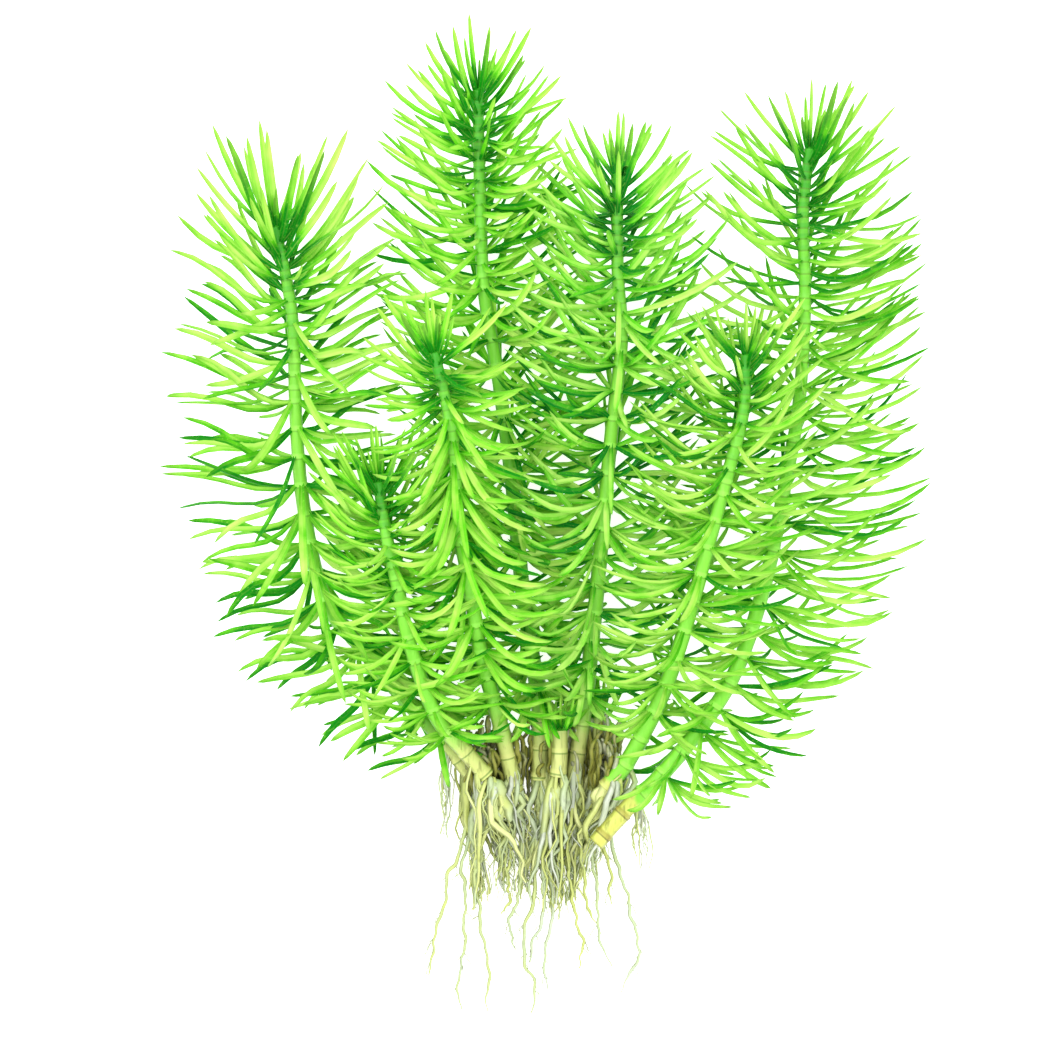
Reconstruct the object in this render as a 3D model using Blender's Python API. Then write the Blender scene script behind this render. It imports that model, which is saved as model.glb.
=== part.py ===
"""Pogostemon deccanensis: a clump of seven leafy stems with bare roots, lying as picked.

Metres, +Z up. The clump lies on its back on z = 0. Its crowns point to +Y, its roots to -Y, and
its front looks up to +Z. Sizes below are in millimetres and are turned into metres by MM.
"""

import math

import bmesh
import bpy
import numpy as np
from mathutils import Vector

MM = 0.001

# Stems: radius at the crown and at the rooted end, and the ring where a whorl of leaves grows
CROWN_RADIUS = 1.3
BASE_RADIUS = 2.0
STEM_SIDES = 6
NODE_HEIGHT = 1.3
NODE_SWELL = 1.12
GAP_GROWTH = 0.8
BUD_HEIGHT = 9.0
HEADING_STEP = 1.0
SHORT_STEM_NODES = (0.3, 0.75)

# Leaves: section at the middle, depth of a whorl towards the front and the back
LEAF_WIDTH = 1.75
LEAF_THICKNESS = 1.2
WHORL_DEPTH = 17.0
LEAF_BEND = 0.55
LEAF_SAG = 0.1
STRAIGHT_FACING = 0.84
STRAIGHT_SHARE = 0.12
LENGTH_JITTER = 0.1
TURN_JITTER = 6.0
WHORL_TURN = 14.0
LEAF_SEED = 100

# Room kept between leaves and stems of different shoots
LEAF_ROOM = 2.25
STEM_ROOM = 3.6
FLOOR_ROOM = 0.6 * LEAF_WIDTH
STEEPEST_RISE = 86

# Ways a crowded leaf gives way: turn round the stem, lift towards the crown, share of its length
GIVING_WAY = [
    (turn, lift, share)
    for share in (1.0, 0.85, 0.7, 0.55, 0.4, 0.25)
    for turn, lift in (
        (0, 0),
        (12, 0),
        (-12, 0),
        (0, 12),
        (0, -12),
        (22, 6),
        (-22, 6),
        (22, -14),
        (-22, -14),
        (34, 0),
        (-34, 0),
        (0, 26),
        (0, -26),
    )
]

# Shoots: route of the stem from crown to cut end, whorl gaps near the crown and lower down, the
# share of the stem that bears leaves, and rows of leaf reach along that share:
# (share, left out, left rise, right out, right rise, front rise)
SHOOTS = {
    "left_shoot": dict(
        route=[
            (-68, 73, 17),
            (-64, 51, 16),
            (-63, 24, 15),
            (-61, 2, 14),
            (-56, -20, 13),
            (-47, -32, 12),
            (-36.5, -44.5, 10),
            (-24.5, -57.5, 8),
            (-16.5, -68.5, 6.5),
        ],
        gaps=(3.5, 7.6),
        leafy=0.89,
        reach=[
            (0.0, 11, 31, 12, 31, 31),
            (0.05, 19, 25, 20, 26, 14),
            (0.12, 27, 14, 27, 15, -6),
            (0.2, 29, 8, 26, 10, -12),
            (0.3, 32, 3, 26, 4, -19),
            (0.38, 32, -3, 25, 0, -22),
            (0.5, 30, -6, 24, -4, -24),
            (0.7, 25, -8, 22, -8, -24),
            (0.86, 20, -9, 18, -9, -15),
            (1.0, 15, -7, 14, -5, -4),
        ],
    ),
    "tall_back_shoot": dict(
        route=[
            (-17.5, 107.5, 13),
            (-17, 84, 12),
            (-16, 58, 11),
            (-12.5, 36.5, 10),
            (-9, 10, 9),
            (-6, -20, 8),
            (-2, -48, 7),
            (-2, -68.5, 6),
        ],
        gaps=(2.4, 7.0),
        leafy=0.88,
        reach=[
            (0.0, 9, 19, 10, 22, 19),
            (0.04, 18, 13, 18, 14, 9),
            (0.1, 23, 11, 20, 10, 2),
            (0.25, 27, 13, 25, 12, -3),
            (0.6, 27, 9, 26, 8, -8),
            (0.8, 23, 1, 22, 1, -9),
            (1.0, 15, -5, 15, -5, -9),
        ],
    ),
    "centre_shoot": dict(
        route=[
            (17.5, 86, 20),
            (17.5, 62, 19),
            (18.5, 45, 19),
            (16, 22, 18),
            (14, 0, 17),
            (12, -22, 14),
            (9.5, -46, 9),
            (6, -68.5, 7),
        ],
        gaps=(3.2, 7.2),
        leafy=0.88,
        reach=[
            (0.0, 7, 19, 8, 18, 18),
            (0.05, 16, 16, 17, 14, 8),
            (0.12, 23, 12, 25, 13, -2),
            (0.3, 28, 12, 29, 13, -7),
            (0.6, 27, 7, 28, 8, -10),
            (0.8, 23, 0, 24, 1, -11),
            (1.0, 15, -3, 17, -2, -5),
        ],
    ),
    "right_shoot": dict(
        route=[
            (65.5, 92.5, 17),
            (64, 76, 16),
            (64.5, 54, 15),
            (63, 29, 15),
            (59.5, 8.5, 15),
            (55, -14, 15),
            (48, -36, 16),
            (39.5, -50.5, 17),
            (28, -64.5, 18),
            (22, -70, 18.5),
            (12, -81, 19),
        ],
        gaps=(3.0, 7.1),
        leafy=0.88,
        reach=[
            (0.0, 11, 20, 12, 22, 21),
            (0.05, 22, 15, 23, 16, 9),
            (0.12, 26, 13, 28, 13, -2),
            (0.4, 28, 10, 32, 8, -9),
            (0.62, 29, 7, 36, 4, -11),
            (0.75, 26, 2, 29, -2, -12),
            (0.9, 20, -3, 23, -4, -12),
            (1.0, 13, -7, 17, -8, -10),
        ],
    ),
    "inner_right_shoot": dict(
        route=[
            (49, 40.5, 31),
            (48.5, 27, 30),
            (45, 12.5, 29),
            (40, -6, 27),
            (35, -24.5, 24),
            (29, -43, 19),
            (20.5, -60, 15),
            (14.5, -67.5, 13),
        ],
        gaps=(2.8, 7.8),
        leafy=0.83,
        reach=[
            (0.0, 9, 17, 9, 18, 17),
            (0.08, 18, 13, 18, 13, 5),
            (0.2, 24, 9, 24, 10, -7),
            (0.6, 25, 4, 26, 5, -12),
            (1.0, 15, -4, 17, -5, -8),
        ],
    ),
    "front_shoot": dict(
        route=[
            (-28, 41, 34),
            (-23.5, 20, 32),
            (-22, -1.5, 30),
            (-19, -19, 26),
            (-16.5, -34.5, 20),
            (-12.5, -49, 13),
            (-8, -68.5, 8),
        ],
        gaps=(2.8, 7.6),
        leafy=0.84,
        reach=[
            (0.0, 9, 20, 9, 21, 20),
            (0.05, 18, 9, 19, 9, 2),
            (0.1, 19, 0, 20, 0, -8),
            (0.18, 17, -9, 18, -8, -15),
            (0.3, 15, -12, 17, -11, -16),
            (0.5, 18, -9, 19, -8, -16),
            (0.7, 21, -4, 21, -4, -14),
            (1.0, 15, -3, 15, -3, -4),
        ],
    ),
    "small_front_shoot": dict(
        route=[
            (-42, 9, 30),
            (-40, -4, 29),
            (-37, -18, 27),
            (-34.5, -30.5, 24),
            (-28, -49, 18),
            (-20, -59, 14.5),
            (-12.5, -67.5, 13),
        ],
        gaps=(2.6, 7.4),
        leafy=0.82,
        reach=[
            (0.0, 8, 19, 8, 19, 19),
            (0.1, 16, 13, 16, 13, 4),
            (0.25, 19, 8, 20, 8, -8),
            (0.6, 20, 2, 21, 3, -12),
            (1.0, 14, 0, 13, 0, -2),
        ],
    ),
}

# Bare stem ends whose tops are lost among the leaves
SHORT_STEMS = {
    "short_stem_1": [(3, -53, 13), (3, -61, 12.5), (2, -68.5, 12)],
    "short_stem_2": [(13, -50, 5.5), (13, -59, 5), (12, -68.5, 5)],
}

# Knot where the roots start, and the roots that trail from it
KNOT_CENTRE = (-1.5, -74.0, 7.5)
KNOT_RADII = (17.5, 9.0, 6.5)
KNOT_TOP = -69.3
KNOT_FOLD = 0.16
KNOT_SEGMENTS = 18
KNOT_RINGS = 7
ROOT_WIDTH = 2.0
ROOT_TIP_SHARE = 0.35
ROOT_LIE = 0.8
SHORT_ROOTS = 24
SHORT_ROOT_STEPS = 3
SHORT_ROOT_REACH = (10.0, 18.0)
SHORT_ROOT_SWAY = 1.6
SHORT_ROOT_TURN = 1.7
SHORT_ROOT_FALL = (0.3, 1.0)
ROOT_FACING = -0.1
ROOT_SEED = 7
LONG_ROOTS = [
    [(-20, -84), (-25.5, -95), (-29, -106), (-30.5, -116)],
    [(-18, -86), (-20.5, -94), (-21.5, -109), (-23, -116), (-22.5, -124.5)],
    [(-15, -86), (-17.5, -100), (-16, -109), (-15, -116), (-15.5, -124.5)],
    [(-10, -85), (-9.5, -97), (-9.5, -104), (-8.5, -109)],
    [(-5, -86), (-4.5, -98), (-6.5, -111), (-3, -117), (-4.5, -125.2)],
    [(-2, -86), (-1.5, -103), (-4.5, -109), (-4.5, -112)],
    [(1, -86), (1.5, -103.5), (-1, -108.5), (-0.5, -119)],
    [(6, -86), (7, -96), (8.5, -104.5), (8, -113.5)],
    [(9, -85), (10, -96), (13, -103), (16, -113)],
    [(12, -84), (15, -90), (16.5, -98)],
    [(14, -82), (18, -90), (21, -99.5), (23.5, -108), (18, -120)],
]
NODE_ROOTS = {
    "left_shoot": [(-25.5, -64), (-26.5, -73), (-26.5, -82)],
    "right_shoot": [(22.5, -78), (25.5, -91), (24.5, -96)],
}

# Corners of a leaf's or a root's section, taken anticlockwise round the face that it grows from
SQUARE = [(0.5, 0.5), (-0.5, 0.5), (-0.5, -0.5), (0.5, -0.5)]

# Faces that look nearly up or down the clump take +Z as their upper side instead of +Y
LEAST_RISE = 0.3

# Edges sharper than this angle stay crisp
SHARP_ANGLE = 40

# Colour and roughness of each piece's material
SHOOT_FINISHES = {
    "left_shoot": ((0.16, 0.62, 0.04, 1.0), 0.45),
    "tall_back_shoot": ((0.10, 0.52, 0.05, 1.0), 0.45),
    "centre_shoot": ((0.14, 0.58, 0.05, 1.0), 0.45),
    "right_shoot": ((0.24, 0.72, 0.05, 1.0), 0.45),
    "inner_right_shoot": ((0.30, 0.76, 0.06, 1.0), 0.45),
    "front_shoot": ((0.26, 0.74, 0.05, 1.0), 0.45),
    "small_front_shoot": ((0.20, 0.66, 0.05, 1.0), 0.45),
}
SHORT_STEM_FINISH = ((0.60, 0.70, 0.18, 1.0), 0.5)
ROOT_FINISH = ((0.66, 0.70, 0.40, 1.0), 0.7)


def clear_scene():
    for obj in list(bpy.data.objects):
        bpy.data.objects.remove(obj, do_unlink=True)


def material(name, finish):
    colour, roughness = finish
    made = bpy.data.materials.new(name)
    made.use_nodes = True
    shader = made.node_tree.nodes["Principled BSDF"]
    shader.inputs["Base Color"].default_value = colour
    shader.inputs["Roughness"].default_value = roughness
    shader.inputs["Metallic"].default_value = 0.0
    return made


def smooth_route(points, steps=12):
    """A Catmull-Rom curve through the points, as (n, 3) millimetres."""
    p = np.array(points, float)
    p = np.vstack([2 * p[0] - p[1], p, 2 * p[-1] - p[-2]])
    t = np.linspace(0, 1, steps, endpoint=False)[:, None]
    runs = [
        0.5
        * (
            2 * b
            + (c - a) * t
            + (2 * a - 5 * b + 4 * c - d) * t**2
            + (3 * b - a - 3 * c + d) * t**3
        )
        for a, b, c, d in zip(p, p[1:], p[2:], p[3:])
    ]
    return np.vstack([*runs, p[-2:-1]])


class Route:
    """A smooth line that can be read at any length from its start."""

    def __init__(self, points):
        self.line = smooth_route(points)
        steps = np.linalg.norm(np.diff(self.line, axis=0), axis=1)
        self.lengths = np.concatenate([[0.0], np.cumsum(steps)])
        self.length = self.lengths[-1]

    def point(self, at):
        return np.array([np.interp(at, self.lengths, self.line[:, k]) for k in range(3)])

    def heading(self, at):
        """Unit vector along the line, away from its start."""
        after = self.point(min(at + HEADING_STEP, self.length))
        step = after - self.point(max(at - HEADING_STEP, 0.0))
        return step / np.linalg.norm(step)


def node_places(length, gaps):
    """Distances of the leaf nodes from the crown: close together there, even lower down."""
    first, full = gaps
    places = [first]
    while places[-1] + full < length:
        grown = full - (full - first) * GAP_GROWTH ** len(places)
        places.append(places[-1] + grown)
    return places


def stem_radius(at, length):
    return CROWN_RADIUS + (BASE_RADIUS - CROWN_RADIUS) * at / length


def bud_tip(route):
    return route.point(0) - route.heading(0) * BUD_HEIGHT


def leaf_offsets(row, azimuth):
    """Tip of a leaf from its node, for a turn round the stem in radians, with 0 to the right."""
    left_out, left_rise, right_out, right_rise, front_rise = row
    across, forward = math.cos(azimuth), math.sin(azimuth)
    out, rise = (right_out, right_rise) if across > 0 else (left_out, left_rise)
    side_share = across**2
    if forward > 0:
        rise = rise * side_share + front_rise * (1 - side_share)
    return np.array([across * out, rise, forward * WHORL_DEPTH])


def leaf_line(start, offset, bent):
    """Start and tip of a leaf, with a middle that sags in a bent one, kept above the surface."""
    length = np.linalg.norm(offset)
    middle = start + LEAF_BEND * offset - np.array([0, LEAF_SAG * length, 0])
    line = np.array([start, middle, start + offset] if bent else [start, start + offset])
    line[1:, 2] = np.maximum(line[1:, 2], FLOOR_ROOM)
    return line


def turned(offset, turn, lift):
    """The offset turned round Y by turn and swung towards +Y by lift, both in degrees."""
    c, s = math.cos(math.radians(turn)), math.sin(math.radians(turn))
    x, y, z = offset
    x, z = c * x - s * z, s * x + c * z
    out = math.hypot(x, z)
    rise = math.atan2(y, out) + math.radians(lift)
    rise = min(rise, math.radians(STEEPEST_RISE))
    length = math.hypot(out, y)
    share = length * math.cos(rise) / max(out, 1e-6)
    return np.array([x * share, length * math.sin(rise), z * share])


def distances(start, end, starts, ends):
    """Least distance from one straight line to each of many."""
    along, others, between = end - start, ends - starts, start - starts
    a = along @ along
    e = np.einsum("ij,ij->i", others, others)
    b = others @ along
    c = between @ along
    f = np.einsum("ij,ij->i", others, between)
    spread = np.maximum(a * e - b * b, 1e-9)
    s = np.clip((b * f - c * e) / spread, 0, 1)
    t = np.clip((b * s + f) / e, 0, 1)
    s = np.clip((b * t - c) / a, 0, 1)
    near = start + s[:, None] * along - (starts + t[:, None] * others)
    return np.linalg.norm(near, axis=1)


class Thicket:
    """The straight lines of all stems and leaves so far, each with its shoot and its room."""

    def __init__(self):
        self.starts = np.empty((0, 3))
        self.ends = np.empty((0, 3))
        self.owners = np.empty(0, int)
        self.rooms = np.empty(0)

    def add(self, line, owner, room):
        count = len(line) - 1
        self.starts = np.vstack([self.starts, line[:-1]])
        self.ends = np.vstack([self.ends, line[1:]])
        self.owners = np.concatenate([self.owners, np.full(count, owner)])
        self.rooms = np.concatenate([self.rooms, np.full(count, room)])

    def spare(self, line, owner):
        """Room left between a leaf and everything of the other shoots; negative when too near."""
        others = self.owners != owner
        starts, ends, rooms = self.starts[others], self.ends[others], self.rooms[others]
        return min(
            (distances(p, q, starts, ends) - rooms).min() for p, q in zip(line, line[1:])
        )


def place_leaf(thicket, owner, start, offset, bent):
    """The first way of lying that clears the other shoots, or None where the leaf has no room."""
    for turn, lift, share in GIVING_WAY:
        line = leaf_line(start, turned(offset, turn, lift) * share, bent)
        if thicket.spare(line, owner) >= 0:
            return line
    return None


def whorl_leaves():
    """Lines of every leaf, by shoot and node: side leaves are placed first, then front and back."""
    thicket = Thicket()
    routes = {name: Route(shoot["route"]) for name, shoot in SHOOTS.items()}
    bare = {name: Route(points) for name, points in SHORT_STEMS.items()}
    for owner, route in enumerate([*routes.values(), *bare.values()]):
        thicket.add(np.vstack([bud_tip(route), route.line]), owner, STEM_ROOM)
    wanted = []
    for owner, (name, shoot) in enumerate(SHOOTS.items()):
        route = routes[name]
        rng = np.random.default_rng(LEAF_SEED + owner)
        rows = np.array(shoot["reach"], float)
        places = node_places(route.length, shoot["gaps"])
        for node, at in enumerate(places):
            share = at / (shoot["leafy"] * route.length)
            if share > 1:
                break
            row = [np.interp(share, rows[:, 0], rows[:, k]) for k in range(1, 6)]
            for side in range(STEM_SIDES):
                azimuth = 360 * side / STEM_SIDES + WHORL_TURN * (-1) ** node
                azimuth = math.radians(azimuth + TURN_JITTER * rng.uniform(-1, 1))
                size = 1 + LENGTH_JITTER * rng.uniform(-1, 1)
                offset = leaf_offsets(row, azimuth) * size
                facing = abs(math.sin(azimuth))
                bent = facing < STRAIGHT_FACING and share > STRAIGHT_SHARE
                wanted.append((facing, owner, node, side, name, at, offset, bent))
    wanted.sort(key=lambda leaf: (round(leaf[0], 1), leaf[2], leaf[1], leaf[3]))
    leaves = {}
    for _, owner, node, side, name, at, offset, bent in wanted:
        route = routes[name]
        outward = offset - (offset @ route.heading(at)) * route.heading(at)
        outward /= max(np.linalg.norm(outward), 1e-6)
        start = route.point(at) + outward * stem_radius(at, route.length)
        line = place_leaf(thicket, owner, start, offset, bent)
        if line is not None:
            thicket.add(line, owner, LEAF_ROOM)
            leaves[name, node, side] = line
    return leaves


def across_stem(heading):
    """Right and front unit vectors square to a stem that runs away from its crown."""
    front = np.array([0.0, 0.0, 1.0]) - heading * heading[2]
    front /= np.linalg.norm(front)
    return np.cross(front, heading), front


def extrude_face(bm, face):
    return bmesh.ops.extrude_discrete_faces(bm, faces=[face])["faces"][0]


def grow(bm, face, line, widths, heights):
    """Extrudes a face along a line, one section at each inner point, and ends it in a tip."""
    face.normal_update()
    centre = face.calc_center_median()
    normal = face.normal.copy()
    rise = Vector((0, 1, 0)) - normal * normal.y
    if rise.length < LEAST_RISE:
        rise = Vector((0, 0, 1)) - normal * normal.z
    rise.normalize()
    side = rise.cross(normal)
    spots = [((vert.co - centre).dot(side), (vert.co - centre).dot(rise)) for vert in face.verts]
    corners = max(
        (SQUARE[k:] + SQUARE[:k] for k in range(4)),
        key=lambda order: sum(a * x + b * y for (a, b), (x, y) in zip(order, spots)),
    )
    points = [Vector(point) * MM for point in line]
    for index in range(1, len(points) - 1):
        heading = (points[index + 1] - points[index - 1]).normalized()
        across = (side - heading * side.dot(heading)).normalized()
        over = heading.cross(across)
        face = extrude_face(bm, face)
        for vert, (a, b) in zip(face.verts, corners):
            offset = across * (a * widths[index]) + over * (b * heights[index])
            vert.co = points[index] + offset * MM
    tip = bmesh.ops.poke(bm, faces=[face])["verts"][0]
    tip.co = points[-1]


class Stem:
    """A six-sided stem, extruded from its crown down to its cut end."""

    def __init__(self, route):
        self.route = route
        self.bm = bmesh.new()
        bmesh.ops.create_cone(
            self.bm,
            cap_ends=True,
            segments=STEM_SIDES,
            radius1=1,
            radius2=1,
            depth=1,
        )
        ends = [face for face in self.bm.faces if len(face.verts) == STEM_SIDES]
        self.crown, self.end = sorted(ends, key=lambda face: face.calc_center_median().z)
        self.crown_turns = self.corner_turns(self.crown)
        self.end_turns = self.corner_turns(self.end)

    @staticmethod
    def corner_turns(face):
        """Angle of each corner, moved by whole sides so that a flat side faces right."""
        step = math.tau / STEM_SIDES
        turns = [math.atan2(vert.co.y, vert.co.x) / step for vert in face.verts]
        return [(math.floor(turn + 0.25) + 0.5) * step for turn in turns]

    def set_ring(self, face, turns, at, radius):
        centre, heading = self.route.point(at), self.route.heading(at)
        right, front = across_stem(heading)
        for vert, turn in zip(face.verts, turns):
            out = math.cos(turn) * right + math.sin(turn) * front
            vert.co = Vector(centre + radius * out) * MM

    def begin(self, at, radius):
        """Shapes the first length, down to the top of the first node."""
        self.set_ring(self.crown, self.crown_turns, 0.0, radius)
        self.set_ring(self.end, self.end_turns, at, radius)

    def extend(self, at, radius):
        """Lengthens the stem and returns the new faces of its sides, by turn round it."""
        self.end = extrude_face(self.bm, self.end)
        self.set_ring(self.end, self.end_turns, at, radius)
        sides = {face for edge in self.end.edges for face in edge.link_faces} - {self.end}
        middle = self.route.point(at)
        right, front = across_stem(self.route.heading(at))
        found = {}
        for face in sides:
            out = np.array(face.calc_center_median()) / MM - middle
            turn = math.atan2(out @ front, out @ right) / math.tau * STEM_SIDES
            found[round(turn) % STEM_SIDES] = face
        return found

    def bud(self):
        """Draws the crown's end out to a point."""
        tip = bmesh.ops.poke(self.bm, faces=[self.crown])["verts"][0]
        tip.co = Vector(bud_tip(self.route)) * MM


def make_shoot(name, shoot, leaves, collection):
    """One shoot: the stem with a swollen ring at each node, and the leaves grown from the rings."""
    route = Route(shoot["route"])
    stem = Stem(route)
    places = node_places(route.length, shoot["gaps"])
    rings = {}
    for node, at in enumerate(places):
        radius = stem_radius(at, route.length)
        if node == 0:
            stem.begin(at - 0.5 * NODE_HEIGHT, radius)
        else:
            stem.extend(at - 0.5 * NODE_HEIGHT, radius)
        rings[node] = stem.extend(at + 0.5 * NODE_HEIGHT, radius * NODE_SWELL)
    stem.extend(route.length, BASE_RADIUS)
    stem.bud()
    widths = [0, LEAF_THICKNESS, 0]
    heights = [0, LEAF_WIDTH, 0]
    for node, ring in rings.items():
        for side, face in ring.items():
            if (name, node, side) in leaves:
                grow(stem.bm, face, leaves[name, node, side], widths, heights)
    if name in NODE_ROOTS:
        route_root = NODE_ROOTS[name]
        faces = [face for node in rings for face in rings[node].values() if face.is_valid]
        first = Vector((*route_root[0], 0)) * MM
        face = min(faces, key=lambda f: (f.calc_center_median().xy - first.xy).length)
        grow_root(stem.bm, face, route_root, ROOT_LIE)
    return new_object(name, stem.bm, SHOOT_FINISHES[name], collection)


def make_short_stem(name, points, collection):
    route = Route(points)
    stem = Stem(route)
    upper, lower = [share * route.length for share in SHORT_STEM_NODES]
    stem.begin(upper, BASE_RADIUS)
    stem.extend(upper + NODE_HEIGHT, BASE_RADIUS * NODE_SWELL)
    stem.extend(lower, BASE_RADIUS)
    stem.extend(lower + NODE_HEIGHT, BASE_RADIUS * NODE_SWELL)
    stem.extend(route.length, BASE_RADIUS)
    return new_object(name, stem.bm, SHORT_STEM_FINISH, collection)


def grow_root(bm, face, route, end_height):
    """A root from a face through points on the surface, coming down to end_height."""
    start = np.array(face.calc_center_median()) / MM
    heights = np.linspace(start[2], end_height, len(route) + 1)[1:]
    line = [start] + [(x, y, z) for (x, y), z in zip(route, heights)]
    sizes = np.linspace(ROOT_WIDTH, ROOT_WIDTH * ROOT_TIP_SHARE, len(line))
    grow(bm, face, line, sizes, sizes)


def make_roots(collection):
    """The knot of roots, with its long and short roots drawn out of its lower faces."""
    bm = bmesh.new()
    bmesh.ops.create_uvsphere(bm, u_segments=KNOT_SEGMENTS, v_segments=KNOT_RINGS, radius=1)
    for index, vert in enumerate(bm.verts):
        size = 1 + KNOT_FOLD * (-1) ** index
        place = [KNOT_CENTRE[k] + vert.co[k] * KNOT_RADII[k] * (size if k else 1) for k in range(3)]
        place[1] = min(place[1], KNOT_TOP)
        place[2] = max(place[2], ROOT_LIE)
        vert.co = Vector(place) * MM
    bm.normal_update()
    lower = [face for face in bm.faces if len(face.verts) == 4 and face.normal.y < ROOT_FACING]
    rng = np.random.default_rng(ROOT_SEED)
    for route in LONG_ROOTS:
        face = min(lower, key=lambda f: abs(f.calc_center_median().x / MM - route[0][0]))
        lower.remove(face)
        grow_root(bm, face, route, ROOT_LIE)
    lower.sort(key=lambda f: f.calc_center_median().x)
    chosen = np.unique(np.linspace(0, len(lower) - 1, SHORT_ROOTS).astype(int))
    for face in [lower[index] for index in chosen]:
        x, y, z = face.calc_center_median() / MM
        reach = rng.uniform(*SHORT_ROOT_REACH)
        sway = rng.uniform(0, math.tau)
        steps = np.arange(1, SHORT_ROOT_STEPS + 1)
        route = [
            (
                x + SHORT_ROOT_SWAY * math.sin(sway + SHORT_ROOT_TURN * k),
                y - reach * k / SHORT_ROOT_STEPS,
            )
            for k in steps
        ]
        grow_root(bm, face, route, max(ROOT_LIE, z * rng.uniform(*SHORT_ROOT_FALL)))
    return new_object("root_tangle", bm, ROOT_FINISH, collection)


def new_object(name, bm, finish, collection):
    bm.normal_update()
    mesh = bpy.data.meshes.new(name)
    bm.to_mesh(mesh)
    bm.free()
    mesh.materials.append(material(name + "_surface", finish))
    mesh.shade_smooth()
    mesh.set_sharp_from_angle(angle=math.radians(SHARP_ANGLE))
    made = bpy.data.objects.new(name, mesh)
    collection.objects.link(made)
    return made


def main():
    clear_scene()
    collection = bpy.data.collections.new("pogostemon_deccanensis")
    bpy.context.scene.collection.children.link(collection)
    leaves = whorl_leaves()
    for name, shoot in SHOOTS.items():
        make_shoot(name, shoot, leaves, collection)
    for name, points in SHORT_STEMS.items():
        make_short_stem(name, points, collection)
    make_roots(collection)


main()
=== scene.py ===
"""Dressed model of Pogostemon deccanensis: a clump of seven leafy stems with bare roots.

The clump lies on its back, as picked: its crowns point to +Y, its roots to -Y, and its front looks
up to +Z. Lengths are worked out in millimetres and go into the meshes in metres.
"""

import logging
import math
from dataclasses import dataclass, field
from enum import Enum, IntEnum
from functools import partialmethod
from typing import Any

import bpy
import numpy as np
from numpy.typing import NDArray
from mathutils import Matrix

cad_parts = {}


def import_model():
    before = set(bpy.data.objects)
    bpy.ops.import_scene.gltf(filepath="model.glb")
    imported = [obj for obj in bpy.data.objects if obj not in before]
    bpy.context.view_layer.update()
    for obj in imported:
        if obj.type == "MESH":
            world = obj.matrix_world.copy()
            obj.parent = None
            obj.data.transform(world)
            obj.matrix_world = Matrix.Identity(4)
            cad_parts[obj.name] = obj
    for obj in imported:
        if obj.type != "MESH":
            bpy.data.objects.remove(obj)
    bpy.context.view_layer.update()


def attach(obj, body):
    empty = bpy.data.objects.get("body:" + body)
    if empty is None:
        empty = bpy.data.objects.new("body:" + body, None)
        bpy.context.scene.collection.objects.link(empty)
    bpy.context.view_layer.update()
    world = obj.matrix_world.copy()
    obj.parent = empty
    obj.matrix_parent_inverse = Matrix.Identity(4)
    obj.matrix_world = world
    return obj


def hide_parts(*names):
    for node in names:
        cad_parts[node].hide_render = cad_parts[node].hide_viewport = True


Array = NDArray[np.float64]
Colour = tuple[float, float, float]
Point = tuple[float, float, float]
Pair = tuple[float, float]

MM = 0.001
SHARP_ANGLE = math.radians(60.0)
LOWEST_POINT = 0.05
log = logging.getLogger("pogostemon")


class Seed(IntEnum):
    """First seed of each kind of chance. Shoots and tufts add their own number to it."""

    ROOTS = 7
    TUFTS = 70
    FIRST_LEAVES = 100
    BLADES = 300
    FURTHER_LEAVES = 500
    BUDS = 900


# Lines


def unit(vectors: Array) -> Array:
    """Each vector divided by its own length, along the last axis."""
    return vectors / np.maximum(np.linalg.norm(vectors, axis=-1, keepdims=True), 1e-9)


def smooth_steps(values: Array, low: float, high: float) -> Array:
    """0 below low, 1 above high, and 3t^2 - 2t^3 between them, with t running from 0 to 1."""
    t = np.clip((values - low) / (high - low), 0, 1)
    return t * t * (3 - 2 * t)


class Route:
    """A smooth line through points, read at any length from its start.

    Each run between two points is a Catmull-Rom cubic: it passes both of them, and its slope at
    each is half the step from the point before to the point after.
    """

    def __init__(self, points: list[Point], steps: int = 12) -> None:
        """Works out the line.

        Args:
            points: the points in millimetres, from the crown to the cut end.
            steps: straight pieces in each run.
        """
        p = np.array(points, float)
        p = np.vstack([2 * p[0] - p[1], p, 2 * p[-1] - p[-2]])
        t = np.linspace(0, 1, steps, endpoint=False)[:, None]
        runs = []
        for a, b, c, d in zip(p, p[1:], p[2:], p[3:]):
            square, cube = 2 * a - 5 * b + 4 * c - d, 3 * b - a - 3 * c + d
            runs.append(0.5 * (2 * b + (c - a) * t + square * t**2 + cube * t**3))
        self.line = np.vstack([*runs, p[-2:-1]])
        spans = np.linalg.norm(np.diff(self.line, axis=0), axis=1)
        self.lengths = np.concatenate([[0.0], np.cumsum(spans)])
        self.length = float(self.lengths[-1])

    def point(self, at: Any) -> Array:
        """The place at one length, or at each of an array of lengths."""
        return np.stack([np.interp(at, self.lengths, self.line[:, k]) for k in range(3)], axis=-1)

    def heading(self, at: Any) -> Array:
        """Unit vector away from the start: the step from 1 mm before to 1 mm after, made unit."""
        after = self.point(np.minimum(at + 1.0, self.length))
        return unit(after - self.point(np.maximum(at - 1.0, 0.0)))


# Skins


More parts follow.
